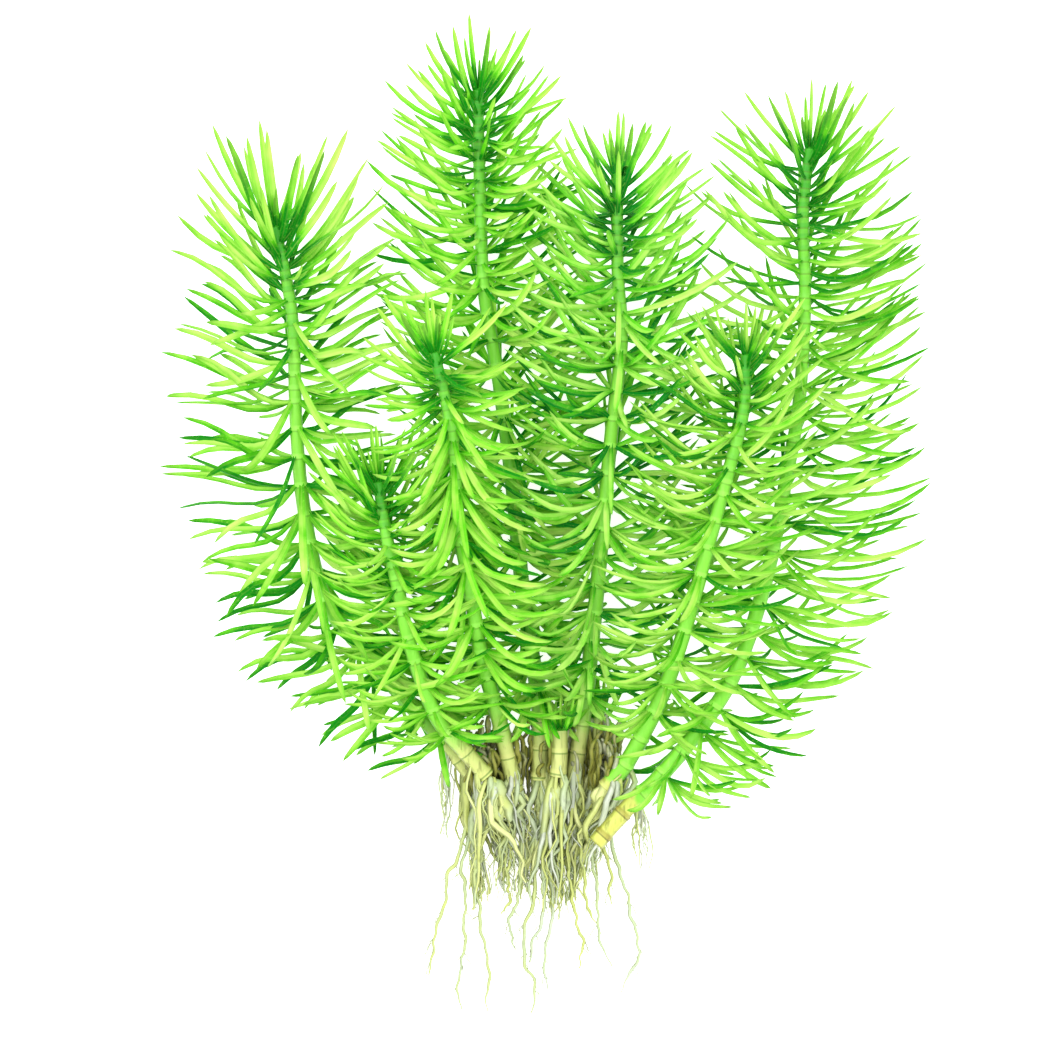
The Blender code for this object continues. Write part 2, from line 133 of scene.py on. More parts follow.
@dataclass
class Sweep:
    """One closed section carried along many lines at once.

    A point of the surface is centre + across * (x * half width) + over * (y * half height), for the
    section's corner (x, y). Both ends of each line close in a single point.

    Args:
        centres: line points, one row of stations a strand: (strands, stations, 3).
        across: unit vectors of the section's x, of the same shape.
        over: unit vectors of its y, so that across x over points along the line.
        section: corners of the section, anticlockwise: (corners, 2).
        half_widths: half the width at each station: (strands, stations).
        half_heights: half the height at each station, of the same shape.
        first: closing point of each start: (strands, 3).
        last: closing point of each tip: (strands, 3).
    """

    centres: Array
    across: Array
    over: Array
    section: Array
    half_widths: Array
    half_heights: Array
    first: Array
    last: Array

    @property
    def counts(self) -> tuple[int, int, int]:
        """Strands, stations and corners."""
        return (*self.centres.shape[:2], len(self.section))

    def points(self) -> Array:
        """All points, strand by strand: its rings, its start, its tip."""
        strands, _, _ = self.counts
        x, y = self.section[:, 0, None], self.section[:, 1, None]
        rings = (
            self.centres[:, :, None]
            + self.across[:, :, None] * (x * self.half_widths[:, :, None, None])
            + self.over[:, :, None] * (y * self.half_heights[:, :, None, None])
        )
        parts = [rings.reshape(strands, -1, 3), self.first[:, None], self.last[:, None]]
        return np.concatenate(parts, axis=1).reshape(-1, 3)

    def faces(self) -> list[Array]:
        """Corner numbers of the sides, four a face, and of both closing fans, three a face."""
        strands, stations, corners = self.counts
        size = stations * corners + 2
        j = np.arange(corners)
        k = (j + 1) % corners
        ring = (np.arange(stations - 1) * corners)[:, None]
        sides = np.stack([ring + j, ring + k, ring + corners + k, ring + corners + j], axis=-1)
        start = np.full(corners, size - 2)
        tip = np.full(corners, size - 1)
        end = (stations - 1) * corners
        fans = np.concatenate([np.stack([start, k, j], 1), np.stack([tip, end + j, end + k], 1)])
        shift = (np.arange(strands) * size)[:, None, None]
        return [
            (sides.reshape(1, -1, 4) + shift).reshape(-1, 4),
            (fans[None] + shift).reshape(-1, 3),
        ]

    def by_strand(self, values: Array) -> Array:
        """One value a strand, given to all of its points."""
        _, stations, corners = self.counts
        return np.repeat(values, stations * corners + 2)

    def by_station(self, values: Array, first: Array, last: Array) -> Array:
        """One value a station, given round its ring, with the values of both ends."""
        rings = np.repeat(values, len(self.section), axis=1)
        return np.concatenate([rings, first[:, None], last[:, None]], axis=1).reshape(-1)

    def by_corner(self, values: Array) -> Array:
        """One value a corner of the section, the same at every station, and 0 at both ends."""
        strands, stations, _ = self.counts
        one = np.concatenate([np.tile(values, stations), [0.0, 0.0]])
        return np.tile(one, strands)


Valued = tuple[Sweep, dict[str, Array]]


class Skin:
    """The points, faces and point values of one piece, gathered sweep by sweep."""

    def __init__(self) -> None:
        """Starts empty."""
        self.points: list[Array] = []
        self.faces: list[list[list[int]]] = []
        self.values: dict[str, list[Array]] = {}
        self.count = 0

    def add(self, sweep: Sweep, values: dict[str, Array]) -> None:
        """Takes in a sweep.

        Args:
            sweep: the surface.
            values: an array for each named value, one number a point.
        """
        points = sweep.points()
        self.points.append(points)
        for faces in sweep.faces():
            self.faces.append((faces + self.count).tolist())
        for name, array in values.items():
            self.values.setdefault(name, []).append(array)
        self.count += len(points)

    def piece(self, name: str, material: bpy.types.Material) -> bpy.types.Object:
        """Makes the mesh and its object, at the origin, with its place in its mesh."""
        points = np.concatenate(self.points)
        points[:, 2] = np.maximum(points[:, 2], LOWEST_POINT)
        mesh = bpy.data.meshes.new(name)
        faces = [face for group in self.faces for face in group]
        mesh.from_pydata((points * MM).tolist(), [], faces)
        for value, arrays in self.values.items():
            attribute = mesh.attributes.new(value, "FLOAT", "POINT")
            attribute.data.foreach_set("value", np.concatenate(arrays).astype(np.float32))
        mesh.materials.append(material)
        mesh.shade_smooth()
        mesh.set_sharp_from_angle(angle=SHARP_ANGLE)
        made = bpy.data.objects.new(name, mesh)
        bpy.context.scene.collection.objects.link(made)
        return made


def round_section(sides: int) -> Array:
    """Corners of a regular polygon: (cos a, sin a) for equal turns a."""
    turns = np.arange(sides) * math.tau / sides
    return np.stack([np.cos(turns), np.sin(turns)], axis=1)


def tangents(lines: Array) -> Array:
    """Unit headings at each station: the step from the station before to the one after."""
    return unit(np.gradient(lines, axis=1))


def cross_frames(headings: Array, faces: Array) -> tuple[Array, Array]:
    """Across and over vectors along lines: across = face x heading, over = heading x across.

    Args:
        headings: unit headings, (strands, stations, 3).
        faces: the way the upper side should look, of a shape that fits headings.

    Returns:
        The across and the over vectors, each of the shape of headings.
    """
    across = unit(np.cross(np.broadcast_to(faces, headings.shape), headings))
    return across, np.cross(headings, across)


def tubes(lines: Array, radii: Array, sides: int) -> Sweep:
    """Round strands along lines, closed in a point a radius beyond each end.

    Args:
        lines: (strands, stations, 3).
        radii: (strands, stations).
        sides: corners of the section.

    Returns:
        The sweep.
    """
    headings = tangents(lines)
    across, over = cross_frames(headings, np.array([0.3, 0.1, 1.0]))
    first = lines[:, 0] - headings[:, 0] * radii[:, 0, None]
    last = lines[:, -1] + headings[:, -1] * radii[:, -1, None]
    return Sweep(lines, across, over, round_section(sides), radii, radii, first, last)


# Shader graphs


class Value:
    """A number socket of a shader graph. Arithmetic on it adds Math nodes.

    A Value taken from a number is that number plus the Value times -1. size() is the number without
    its sign, and wave() its sine.
    """

    def __init__(self, graph: "Graph", socket: bpy.types.NodeSocket) -> None:
        """Holds the graph and the socket that gives the number."""
        self.graph = graph
        self.socket = socket

    def _math(self, operation: str, *others: Any) -> "Value":
        """A Math node of one operation on this number and others."""
        inputs = dict(enumerate((self, *others)))
        return self.graph.value("ShaderNodeMath", {"operation": operation}, inputs)

    __add__ = __radd__ = partialmethod(_math, "ADD")
    __mul__ = partialmethod(_math, "MULTIPLY")
    __sub__ = partialmethod(_math, "SUBTRACT")
    __rsub__ = partialmethod(_math, "MULTIPLY_ADD", -1.0)
    size = partialmethod(_math, "ABSOLUTE")
    wave = partialmethod(_math, "SINE")

    def rise(self, low: float, high: float) -> "Value":
        """0 below low, 1 above high and a smooth step between them."""
        settings = {"interpolation_type": "SMOOTHSTEP"}
        return self.graph.value("ShaderNodeMapRange", settings, {0: self, 1: low, 2: high})

    def fall(self, low: float, high: float) -> "Value":
        """1 below low, 0 above high and a smooth step between them."""
        return 1.0 - self.rise(low, high)


class Graph:
    """The shader graph of one material, with its Principled shader."""

    def __init__(self, name: str) -> None:
        """Makes a material of that name with an empty graph."""
        self.material = bpy.data.materials.new(name)
        self.material.use_nodes = True
        self.tree = self.material.node_tree
        self.shader = self.tree.nodes["Principled BSDF"]
        self.place = self.node("ShaderNodeTexCoord", {}, {}).outputs["Object"]

    def put(self, given: Any, socket: bpy.types.NodeSocket) -> None:
        """Links a Value or a socket to an input, or sets a number or a colour on it."""
        given = given.socket if isinstance(given, Value) else given
        if isinstance(given, bpy.types.NodeSocket):
            self.tree.links.new(given, socket)
        else:
            socket.default_value = (*given, 1.0) if socket.type == "RGBA" else given

    def node(self, kind: str, settings: dict[str, Any], inputs: dict[Any, Any]) -> bpy.types.Node:
        """Any node.

        Args:
            kind: type of the node.
            settings: its own settings, set first.
            inputs: a number, colour, socket or Value for each input, by number or name.

        Returns:
            The node.
        """
        made = self.tree.nodes.new(kind)
        for key, setting in settings.items():
            setattr(made, key, setting)
        for key, given in inputs.items():
            self.put(given, made.inputs[key])
        return made

    def value(self, kind: str, settings: dict[str, Any], inputs: dict[Any, Any]) -> Value:
        """The first output of any node, as a Value."""
        return Value(self, self.node(kind, settings, inputs).outputs[0])

    def read(self, name: str) -> Value:
        """A point value of the mesh, by name."""
        node = self.node("ShaderNodeAttribute", {"attribute_name": name}, {})
        return Value(self, node.outputs["Fac"])

    def noise(self, scale: float, detail: float = 2.0, stretch: Point = (1.0, 1.0, 1.0)) -> Value:
        """Noise about 0, from -0.5 to 0.5, on Object coordinates.

        Args:
            scale: waves a metre.
            detail: octaves.
            stretch: further scale of each axis; a low one draws the pattern out along it.

        Returns:
            The noise.
        """
        place = self.node("ShaderNodeMapping", {}, {"Vector": self.place, "Scale": stretch})
        inputs = {"Vector": place.outputs[0], "Scale": scale, "Detail": detail}
        return self.value("ShaderNodeTexNoise", {}, inputs) - 0.5

    def ramp(self, factor: Value, stops: list[tuple[float, Colour]]) -> bpy.types.NodeSocket:
        """A colour ramp read at the factor. Its stops are pairs of a place and a colour."""
        node = self.node("ShaderNodeValToRGB", {}, {0: factor})
        elements = node.color_ramp.elements
        for place, _ in stops[2:]:
            elements.new(place)
        for element, (place, colour) in zip(elements, stops):
            element.position = place
            element.color = (*colour, 1.0)
        return node.outputs["Color"]

    def mix(self, factor: Any, low: Any, high: Any) -> bpy.types.NodeSocket:
        """A Mix node between two colours: inputs 6 and 7 are its colours, output 2 the mixture."""
        inputs = {0: factor, 6: low, 7: high}
        return self.node("ShaderNodeMix", {"data_type": "RGBA"}, inputs).outputs[2]

    def layers(self, colour: Any, *overs: tuple[Any, Any]) -> bpy.types.NodeSocket:
        """Colours laid over the first one by one, each with a factor of its own before it."""
        for factor, over in overs:
            colour = self.mix(factor, colour, over)
        return colour

    def bump(self, height: Value, depth: float, strength: float) -> bpy.types.NodeSocket:
        """A Bump node: the normal over a height from 0 to 1 that stands for depth in metres."""
        inputs = {"Height": height, "Distance": depth, "Strength": strength}
        return self.node("ShaderNodeBump", {}, inputs).outputs[0]

    def finish(self, colour: Any, roughness: Any, normal: Any, **others: Any) -> bpy.types.Material:
        """Gives the shader its inputs.

        Args:
            colour: base colour.
            roughness: roughness.
            normal: socket of the normal.
            others: other inputs, by name with underscores for spaces.

        Returns:
            The material.
        """
        inputs = {"Base_Color": colour, "Roughness": roughness, "Normal": normal, **others}
        for key, given in inputs.items():
            self.put(given, self.shader.inputs[key.replace("_", " ")])
        return self.material


# Finishes


def tone(red: int, green: int, blue: int) -> Colour:
    """Linear colour of a display colour of 0 to 255: ((c + 0.055) / 1.055) ^ 2.4 of each share."""
    shares = [c / 255 for c in (red, green, blue)]
    linear = [s / 12.92 if s <= 0.04045 else ((s + 0.055) / 1.055) ** 2.4 for s in shares]
    return (linear[0], linear[1], linear[2])


@dataclass(frozen=True)
class LeafFinish:
    """Soft thin blades: four greens by leaf, with darker axils and tips, a pale midline, and a
    painted shade on one half.
    """

    name: str
    light: Colour
    fresh: Colour
    deep: Colour
    dark: Colour
    tip: Colour = tone(60, 150, 16)
    edge: Colour = tone(56, 166, 12)
    young_tip: Colour = tone(190, 234, 98)
    roughness: float = 0.45
    wash_scale: float = 150.0
    grain_scale: float = 1400.0

    def build(self) -> bpy.types.Material:
        """The shade is the leaf's tint, moved by a soft wash, by a painted shade that darkens one
        half of the blade, and by its axil.
        """
        g = Graph(self.name)
        tint, along, young, side = map(g.read, ("tint", "along", "young", "across"))
        across = side.size()
        wash = g.noise(self.wash_scale)
        grain = g.noise(self.grain_scale, 3.0)
        # painted shade: one half of every blade across its width is darker, as if lit from the
        # other side
        shade = tint + wash + side.rise(-0.3, 0.3) * 0.2 + along.fall(0.02, 0.3) * 0.3
        shade = shade + along.fall(0.12, 0.55) * young * 0.85
        stops = [(0.0, self.light), (0.34, self.fresh), (0.66, self.deep), (1.0, self.dark)]
        colour = g.layers(
            g.ramp(shade, stops),
            (across.fall(0.06, 0.3) * (0.25 - tint * 0.22), self.light),
            (across.rise(0.7, 1.0) * 0.5, self.edge),
            (along.rise(0.45, 1.0) * young * 0.35, self.young_tip),
            (along.rise(0.8, 1.0) * (0.55 - young * 0.4), self.tip),
            (grain.rise(0.05, 0.3) * 0.3, self.light),
        )
        veins = (across * 26.0).wave() * 0.3 + grain
        normal = g.bump(veins, 0.00012, 0.6)
        return g.finish(colour, self.roughness + grain * 0.3, normal, Specular_IOR_Level=0.1)


@dataclass(frozen=True)
class StemFinish:
    """A jointed stem: green, pale at its rooted end, with a collar and a fine line at each node,
    and painted shade down both sides.
    """

    name: str
    young: Colour
    grown: Colour
    base: Colour
    shade: Colour = tone(84, 150, 26)
    rooted_shade: Colour = tone(104, 108, 38)
    collar: Colour = tone(166, 240, 92)
    rooted_collar: Colour = tone(206, 208, 124)
    line: Colour = tone(78, 118, 26)
    axil: Colour = tone(40, 158, 22)
    base_start: float = 26.0
    base_full: float = 10.0
    roughness: float = 0.45

    def build(self) -> bpy.types.Material:
        """Colours follow the lengths from the crown, to the cut end and from the nearest node, and
        the painted shade follows the side of the stem.
        """
        g = Graph(self.name)
        names = ("from_crown", "to_end", "node_gap", "node_side", "round")
        from_crown, to_end, node_gap, node_side, side = map(g.read, names)
        streaks = g.noise(900.0, 3.0, (1.0, 0.12, 1.0))
        blotch = g.noise(160.0)
        rooted = (to_end + blotch * 10.0).fall(self.base_full, self.base_start)
        shade = g.mix(rooted, self.shade, self.rooted_shade)
        collar = g.layers(
            self.axil,
            ((from_crown + blotch * 0.2).rise(0.05, 0.35), self.collar),
            (rooted, self.rooted_collar),
        )
        line = (node_gap - 0.75).size().fall(0.1, 0.32) * node_side.rise(0.0, 1.0)
        colour = g.layers(
            self.young,
            ((from_crown + blotch * 0.4).rise(0.0, 0.35), self.grown),
            (from_crown.fall(0.0, 0.1) * 0.8, self.axil),
            (rooted, self.base),
            # painted shade: darker down both sides of the round stem, more on one; the same colour
            # also paints the real streaks and the torn cut end
            (side.rise(0.6, 1.0) * 0.55 + side.fall(-1.0, -0.6) * 0.7, shade),
            ((streaks * 1.5 + blotch * 0.4).rise(0.0, 0.4) * (0.22 + rooted * 0.6), shade),
            (streaks.fall(-0.3, -0.05) * 0.4, collar),
            (node_gap.fall(0.3, 0.9) * 0.55, collar),
            (line * (0.35 + rooted * 0.3), self.line),
            (to_end.fall(0.0, 0.5) * 0.6, shade),
        )
        normal = g.bump(streaks + blotch * 0.4, 0.0002, 0.5)
        return g.finish(colour, self.roughness + streaks * 0.25, normal, Specular_IOR_Level=0.4)


@dataclass(frozen=True)
class RootFinish:
    """Fine roots: cream, grey green or lilac white by strand, with painted shade at their sides and
    deep in the tangle.
    """

    name: str
    cream: Colour = tone(216, 222, 152)
    straw: Colour = tone(190, 200, 112)
    grey: Colour = tone(184, 200, 154)
    lilac: Colour = tone(208, 214, 200)
    # the darkest olive, of old roots, also paints the shade behind the stem bases
    old_and_shade: Colour = tone(138, 138, 56)
    inside: Colour = tone(112, 124, 54)
    stain_and_shade: Colour = tone(78, 90, 34)
    roughness: float = 0.5

    def build(self) -> bpy.types.Material:
        """The strand's tint chooses the colour, moved by noise along it, with stains and painted
        shade laid over.
        """
        g = Graph(self.name)
        tint, deep, side = map(g.read, ("tint", "deep", "round"))
        wash = g.noise(130.0)
        fine = g.noise(1100.0, 3.0, (1.0, 0.3, 1.0))
        tones = (self.cream, self.straw, self.grey, self.lilac, self.old_and_shade)
        colour = g.layers(
            g.ramp(tint + wash * 0.45 + fine * 0.2, list(zip((0.0, 0.25, 0.5, 0.72, 1.0), tones))),
            ((wash + fine).rise(0.1, 0.45) * 0.5, self.stain_and_shade),
            # painted shade: darker down both sides of each round strand, in the same colour as the
            # stains
            (side.size().rise(0.35, 0.95) * 0.65, self.stain_and_shade),
            # painted shade: strands lying low in the tangle are darker, as under the strands above
            # them
            ((deep + wash * 0.6).rise(0.25, 1.0) * 0.5, self.inside),
        )
        normal = g.bump(fine + wash, 0.0002, 0.6)
        return g.finish(colour, self.roughness + fine * 0.3, normal, Specular_IOR_Level=0.35)


@dataclass(frozen=True)
class FloorFinish:
    """A smooth pale sheet with the faintest grain, like paper on a light table."""

    name: str = "pale_sheet"
    light: Colour = (0.93, 0.93, 0.93)
    dim: Colour = (0.9, 0.9, 0.9)
    glow: float = 0.9
    roughness: float = 0.9

    def build(self) -> bpy.types.Material:
        """Fine noise moves the colour between two near whites, lit a little from below."""
        g = Graph(self.name)
        grain = g.noise(40.0)
        colour = g.mix(grain.rise(-0.2, 0.2), self.light, self.dim)
        normal = g.bump(grain, 0.0001, 0.1)
        lit = {"Emission_Color": colour, "Emission_Strength": self.glow}
        return g.finish(colour, self.roughness, normal, Specular_IOR_Level=0.1, **lit)


# Where the leaves lie


@dataclass
class LeafHabit:
    """How leaves stand round a stem, and how they give way to other shoots. Angles are in degrees.

    Args:
        sides: first leaves a whorl.
        between_lift: greatest lift of a further leaf at a side, and how much more it is in front.
        further_length: length of a further leaf, as a share of a first one's.
        doubled: share of the stem down to which further leaves have whorls of their own.
        open_crown: share of the stem down to which a whorl has few further leaves.
        crown_between: how many those are.
        root_corner: upper right corner of the roots, before which no further leaf ends.
        whorl_turn: turn of the whorls, to one side and the other by turns.
        turn_jitter: greatest chance turn of a leaf.
        length_jitter: greatest chance share of its length.
        depth: reach of a whorl to the front and the back.
        bend: place along the leaf of its lowest point.
        sag: how far it hangs there, as a share of its length.
        straight_facing: sine of the turn past which front and back leaves stay straight.
        straight_share: share of the stem down to which all leaves do.
        steepest: steepest rise of a leaf that gives way.
        floor_room: height that a leaf keeps over the surface.
        leaf_room: room between leaves of different shoots.
        narrow_room: the same for further leaves.
        stem_room: room between a leaf and another shoot's stem.
        dodges: turn and lift, in the order in which a crowded leaf tries them.
        dodge_shares: shares of its length with which it tries them.
    """

    sides: int = 6
    between_lift: Pair = (28.0, 26.0)
    further_length: float = 0.94
    doubled: float = 0.3
    open_crown: float = 0.05
    crown_between: int = 2
    root_corner: Pair = (20.0, -60.0)
    whorl_turn: float = 14.0
    turn_jitter: float = 6.0
    length_jitter: float = 0.1
    depth: float = 17.0
    bend: float = 0.55
    sag: float = 0.1
    straight_facing: float = 0.84
    straight_share: float = 0.12
    steepest: float = 86.0
    floor_room: float = 1.05
    leaf_room: float = 2.25
    narrow_room: float = 1.1
    stem_room: float = 3.6
    dodges: tuple[tuple[int, int], ...] = (
        (0, 0), (12, 0), (-12, 0), (0, 12), (0, -12), (22, 6), (-22, 6), (22, -14), (-22, -14),
        (34, 0), (-34, 0), (0, 26), (0, -26),
    )
    dodge_shares: tuple[float, ...] = (1.0, 0.85, 0.7, 0.55, 0.4, 0.25)

    @property
    def giving_way(self) -> list[tuple[float, float, float]]:
        """Turn, lift and share of the length, in the order in which a crowded leaf tries them."""
        return [(turn, lift, share) for share in self.dodge_shares for turn, lift in self.dodges]

    def offset(self, row: list[float], azimuth: float) -> Array:
        """Tip of a leaf from its node.

        Args:
            row: left out, left rise, right out, right rise and front rise at this height.
            azimuth: turn round the stem in radians, 0 at the right and a quarter turn in front.

        Returns:
            (cos a * out, rise, sin a * depth), where a front leaf's rise mixes in the front rise by
            sin a squared.
        """
        left_out, left_rise, right_out, right_rise, front_rise = row
        across, forward = math.cos(azimuth), math.sin(azimuth)
        out, rise = (right_out, right_rise) if across > 0 else (left_out, left_rise)
        side_share = across**2
        if forward > 0:
            rise = rise * side_share + front_rise * (1 - side_share)
        return np.array([across * out, rise, forward * self.depth])

    def line(self, start: Array, offset: Array, bent: bool) -> Array:
        """Start and tip of a leaf, with a sagging middle in a bent one, kept above the surface."""
        length = np.linalg.norm(offset)
        middle = start + self.bend * offset - np.array([0, self.sag * length, 0])
        line = np.array([start, middle, start + offset] if bent else [start, start + offset])
        line[1:, 2] = np.maximum(line[1:, 2], self.floor_room)
        return line

    def turned(self, offset: Array, turn: float, lift: float) -> Array:
        """The offset turned round Y by turn and swung towards +Y by lift, both in degrees."""
        c, s = math.cos(math.radians(turn)), math.sin(math.radians(turn))
        x, y, z = offset
        x, z = c * x - s * z, s * x + c * z
        out = math.hypot(x, z)
        rise = min(math.atan2(y, out) + math.radians(lift), math.radians(self.steepest))
        length = math.hypot(out, y)
        share = length * math.cos(rise) / max(out, 1e-6)
        return np.array([x * share, length * math.sin(rise), z * share])


class Thicket:
    """The straight lines of all stems and leaves so far, each with its shoot and its room."""

    def __init__(self) -> None:
        """Starts empty."""
        self.starts = np.empty((0, 3))
        self.ends = np.empty((0, 3))
        self.owners = np.empty(0, int)
        self.rooms = np.empty(0)

    def add(self, line: Array, owner: int, room: float) -> None:
        """Takes in a line of a shoot, with the room to keep from it."""
        count = len(line) - 1
        self.starts = np.vstack([self.starts, line[:-1]])
        self.ends = np.vstack([self.ends, line[1:]])
        self.owners = np.concatenate([self.owners, np.full(count, owner)])
        self.rooms = np.concatenate([self.rooms, np.full(count, room)])

    @staticmethod
    def distances(start: Array, end: Array, starts: Array, ends: Array) -> Array:
        """Least distance from one straight line to each of many.

        The nearest places s and t along both lines solve two linear equations, kept in 0 to 1.
        """
        along, others, between = end - start, ends - starts, start - starts
        a = along @ along
        e = np.einsum("ij,ij->i", others, others)
        b = others @ along
        c = between @ along
        f = np.einsum("ij,ij->i", others, between)
        spread = np.maximum(a * e - b * b, 1e-9)
        s = np.clip((b * f - c * e) / spread, 0, 1)
        t = np.clip((b * s + f) / e, 0, 1)
        s = np.clip((b * t - c) / a, 0, 1)
        near = start + s[:, None] * along - (starts + t[:, None] * others)
        return np.linalg.norm(near, axis=1)

    def spare(self, line: Array, owner: int, ease: float = 0.0) -> float:
        """Room left between a leaf and the other shoots, with every room made smaller by ease."""
        others = self.owners != owner
        starts, ends, rooms = self.starts[others], self.ends[others], self.rooms[others] - ease
        gaps = [(self.distances(p, q, starts, ends) - rooms).min() for p, q in zip(line, line[1:])]
        return min(gaps)


@dataclass
class Leaf:
    """One leaf as it lies.

    Args:
        start: where it leaves the stem.
        tip: its tip.
        bent: whether its middle sags.
        azimuth: turn round the stem in radians.
        share: height on the leafy stem, from 0 at the crown to 1.
        crown: unit vector along the stem towards its crown.
        inner: whether it is one of the bud's own leaves.
    """

    start: Array
    tip: Array
    bent: bool
    azimuth: float
    share: float
    crown: Array
    inner: bool = False


# Shoots


@dataclass(frozen=True)
class BudForm:
    """How the youngest leaves stand: a heart folded round the tip, and upright leaves round it.

    Args:
        turn: turn in radians from each leaf to the next.
        turn_chance: greatest chance turn.
        front: sine of the turn above which an upright leaf goes behind the heart instead.
        off_axis: how far from the middle of the stem a leaf starts.
        heart_tilts: least and greatest tilt in degrees of a heart leaf.
        upright_tilts: tilt of the innermost upright leaf, and what the outermost one's adds.
        heart_lengths: least and greatest share of the bud's height that a heart leaf has.
        upright_lengths: the same for an upright leaf, of the crown's front rise.
        upright_drop: how far below the tip an upright leaf may start.
    """

    turn: float = 2.4
    turn_chance: float = 0.3
    front: float = 0.5
    off_axis: float = 0.6
    heart_tilts: Pair = (8.0, 20.0)
    upright_tilts: Pair = (4.0, 50.0)
    heart_lengths: Pair = (0.8, 1.2)
    upright_lengths: Pair = (0.75, 1.0)
    upright_drop: float = 2.5


@dataclass(frozen=True)
class BladeForm:
    """Form and shade of the blades. Most pairs are the least and greatest value by chance.

    Args:
        stations: places along a blade, from 0 at the stem to 1 at its tip.
        widths: share of the full width at each of them.
        section: corners in half widths and half heights: a shallow trough with a keel below.
        least_height: share of the full height where a blade has no width.
        rooted: how far inside the stem a blade starts.
        tip_chance: usual shift of a tip.
        sags: shares of the shoot's sag.
        straight_sag: sag of a straight blade.
        curl_chance: usual curl, as a share of the length.
        bow_chance: usual bow along Z, as a share of the length.
        resting: share of the blade over which its least height over the surface grows.
        lean: how far the upper side looks to the crown, and up.
        lean_chance: usual shift of that.
        twist: greatest turn of the tip round the blade's line, in radians.
        facing: sine of the turn past which a leaf stands in front or behind.
        width_shares: shares of the width.
        growing: share of the width at no length, the length that adds 1 to it, and the least share.
        inner_width: share of the width of the bud's own leaves.
        dark_width: the same of dark leaves.
        turned_width: the same of all leaves but those in front.
        dark_shares: how much likelier a leaf behind is dark, and any other; the leaves behind are
            darker as a painted shade.
        front_tints: tints of leaves that are not behind.
        behind_tints: tints of leaves behind, darker than the front ones as a painted shade.
        dark_tints: tints of dark leaves.
        heart_tints: tints of the crown's dark heart.
        young_tints: shift of the shoot's tint for its youngest leaves.
        young_until: share of the stem down to which all leaves are young, and to which some are.
        heart_facing: sine of the turn past which a leaf of the first whorl belongs to the heart.
        heart_until: share of the stem down to which that holds.
    """

    stations: tuple[float, ...] = (0.0, 0.08, 0.2, 0.35, 0.5, 0.65, 0.8, 0.93)
    widths: tuple[float, ...] = (0.55, 0.66, 0.86, 0.98, 1.0, 0.97, 0.86, 0.58)
    section: tuple[Pair, ...] = (
        (1.0, 0.6), (0.5, 0.5), (0.0, 0.0), (-0.5, 0.5), (-1.0, 0.6), (0.0, -0.75),
    )
    least_height: float = 0.35
    rooted: float = 0.8
    tip_chance: float = 0.8
    sags: Pair = (0.35, 1.6)
    straight_sag: float = 0.08
    curl_chance: float = 0.018
    bow_chance: float = 0.05
    resting: float = 0.25
    lean: Pair = (0.45, 0.9)
    lean_chance: float = 0.28
    twist: float = 0.5
    facing: float = 0.25
    width_shares: Pair = (0.86, 1.1)
    growing: tuple[float, float, float] = (0.55, 50.0, 0.75)
    inner_width: float = 0.85
    dark_width: float = 0.95
    turned_width: float = 0.86
    dark_shares: Pair = (1.4, 0.8)
    front_tints: Pair = (0.0, 0.42)
    behind_tints: Pair = (0.05, 0.52)
    dark_tints: Pair = (0.68, 0.98)
    heart_tints: Pair = (0.65, 0.95)
    young_tints: Pair = (-0.15, 0.2)
    young_until: Pair = (0.03, 0.2)
    heart_facing: float = 0.6
    heart_until: float = 0.05


@dataclass(frozen=True)
class StemForm:
    """Swellings of a jointed stem, and where its rings of points lie.

    Args:
        sides: corners of the stem's section.
        fullness: radius between the swellings, as a share of the even radius.
        below_node: extra share just below a node, and the way down over which it dies out.
        at_node: extra share at a node, and the way to each side over which it dies out.
        swelling: lengths from the crown at which the swellings start, and are full.
        rings: ways from a node to the rings round it.
        edge: way from a node at which a ring counts fully as below it.
        between: places of the rings between two nodes, as shares of the way.
        beyond: how far past the cut end the next node would stand.
        closing: rise of the closing points over the crown's end and over the cut end.
        far: lengths that stand for far from the cut end, and far from any node.
    """

    sides: int = 12
    fullness: float = 1.06
    below_node: Pair = (0.08, 2.5)
    at_node: Pair = (0.05, 0.55)
    swelling: Pair = (4.0, 20.0)
    rings: tuple[float, ...] = (-0.9, -0.5, -0.25, 0.0, 0.25, 0.5, 0.75, 1.0, 1.4)
    edge: float = 0.25
    between: tuple[float, ...] = (0.45, 0.7)
    beyond: float = 8.0
    closing: Pair = (0.7, 0.15)
    far: Pair = (200.0, 9.0)


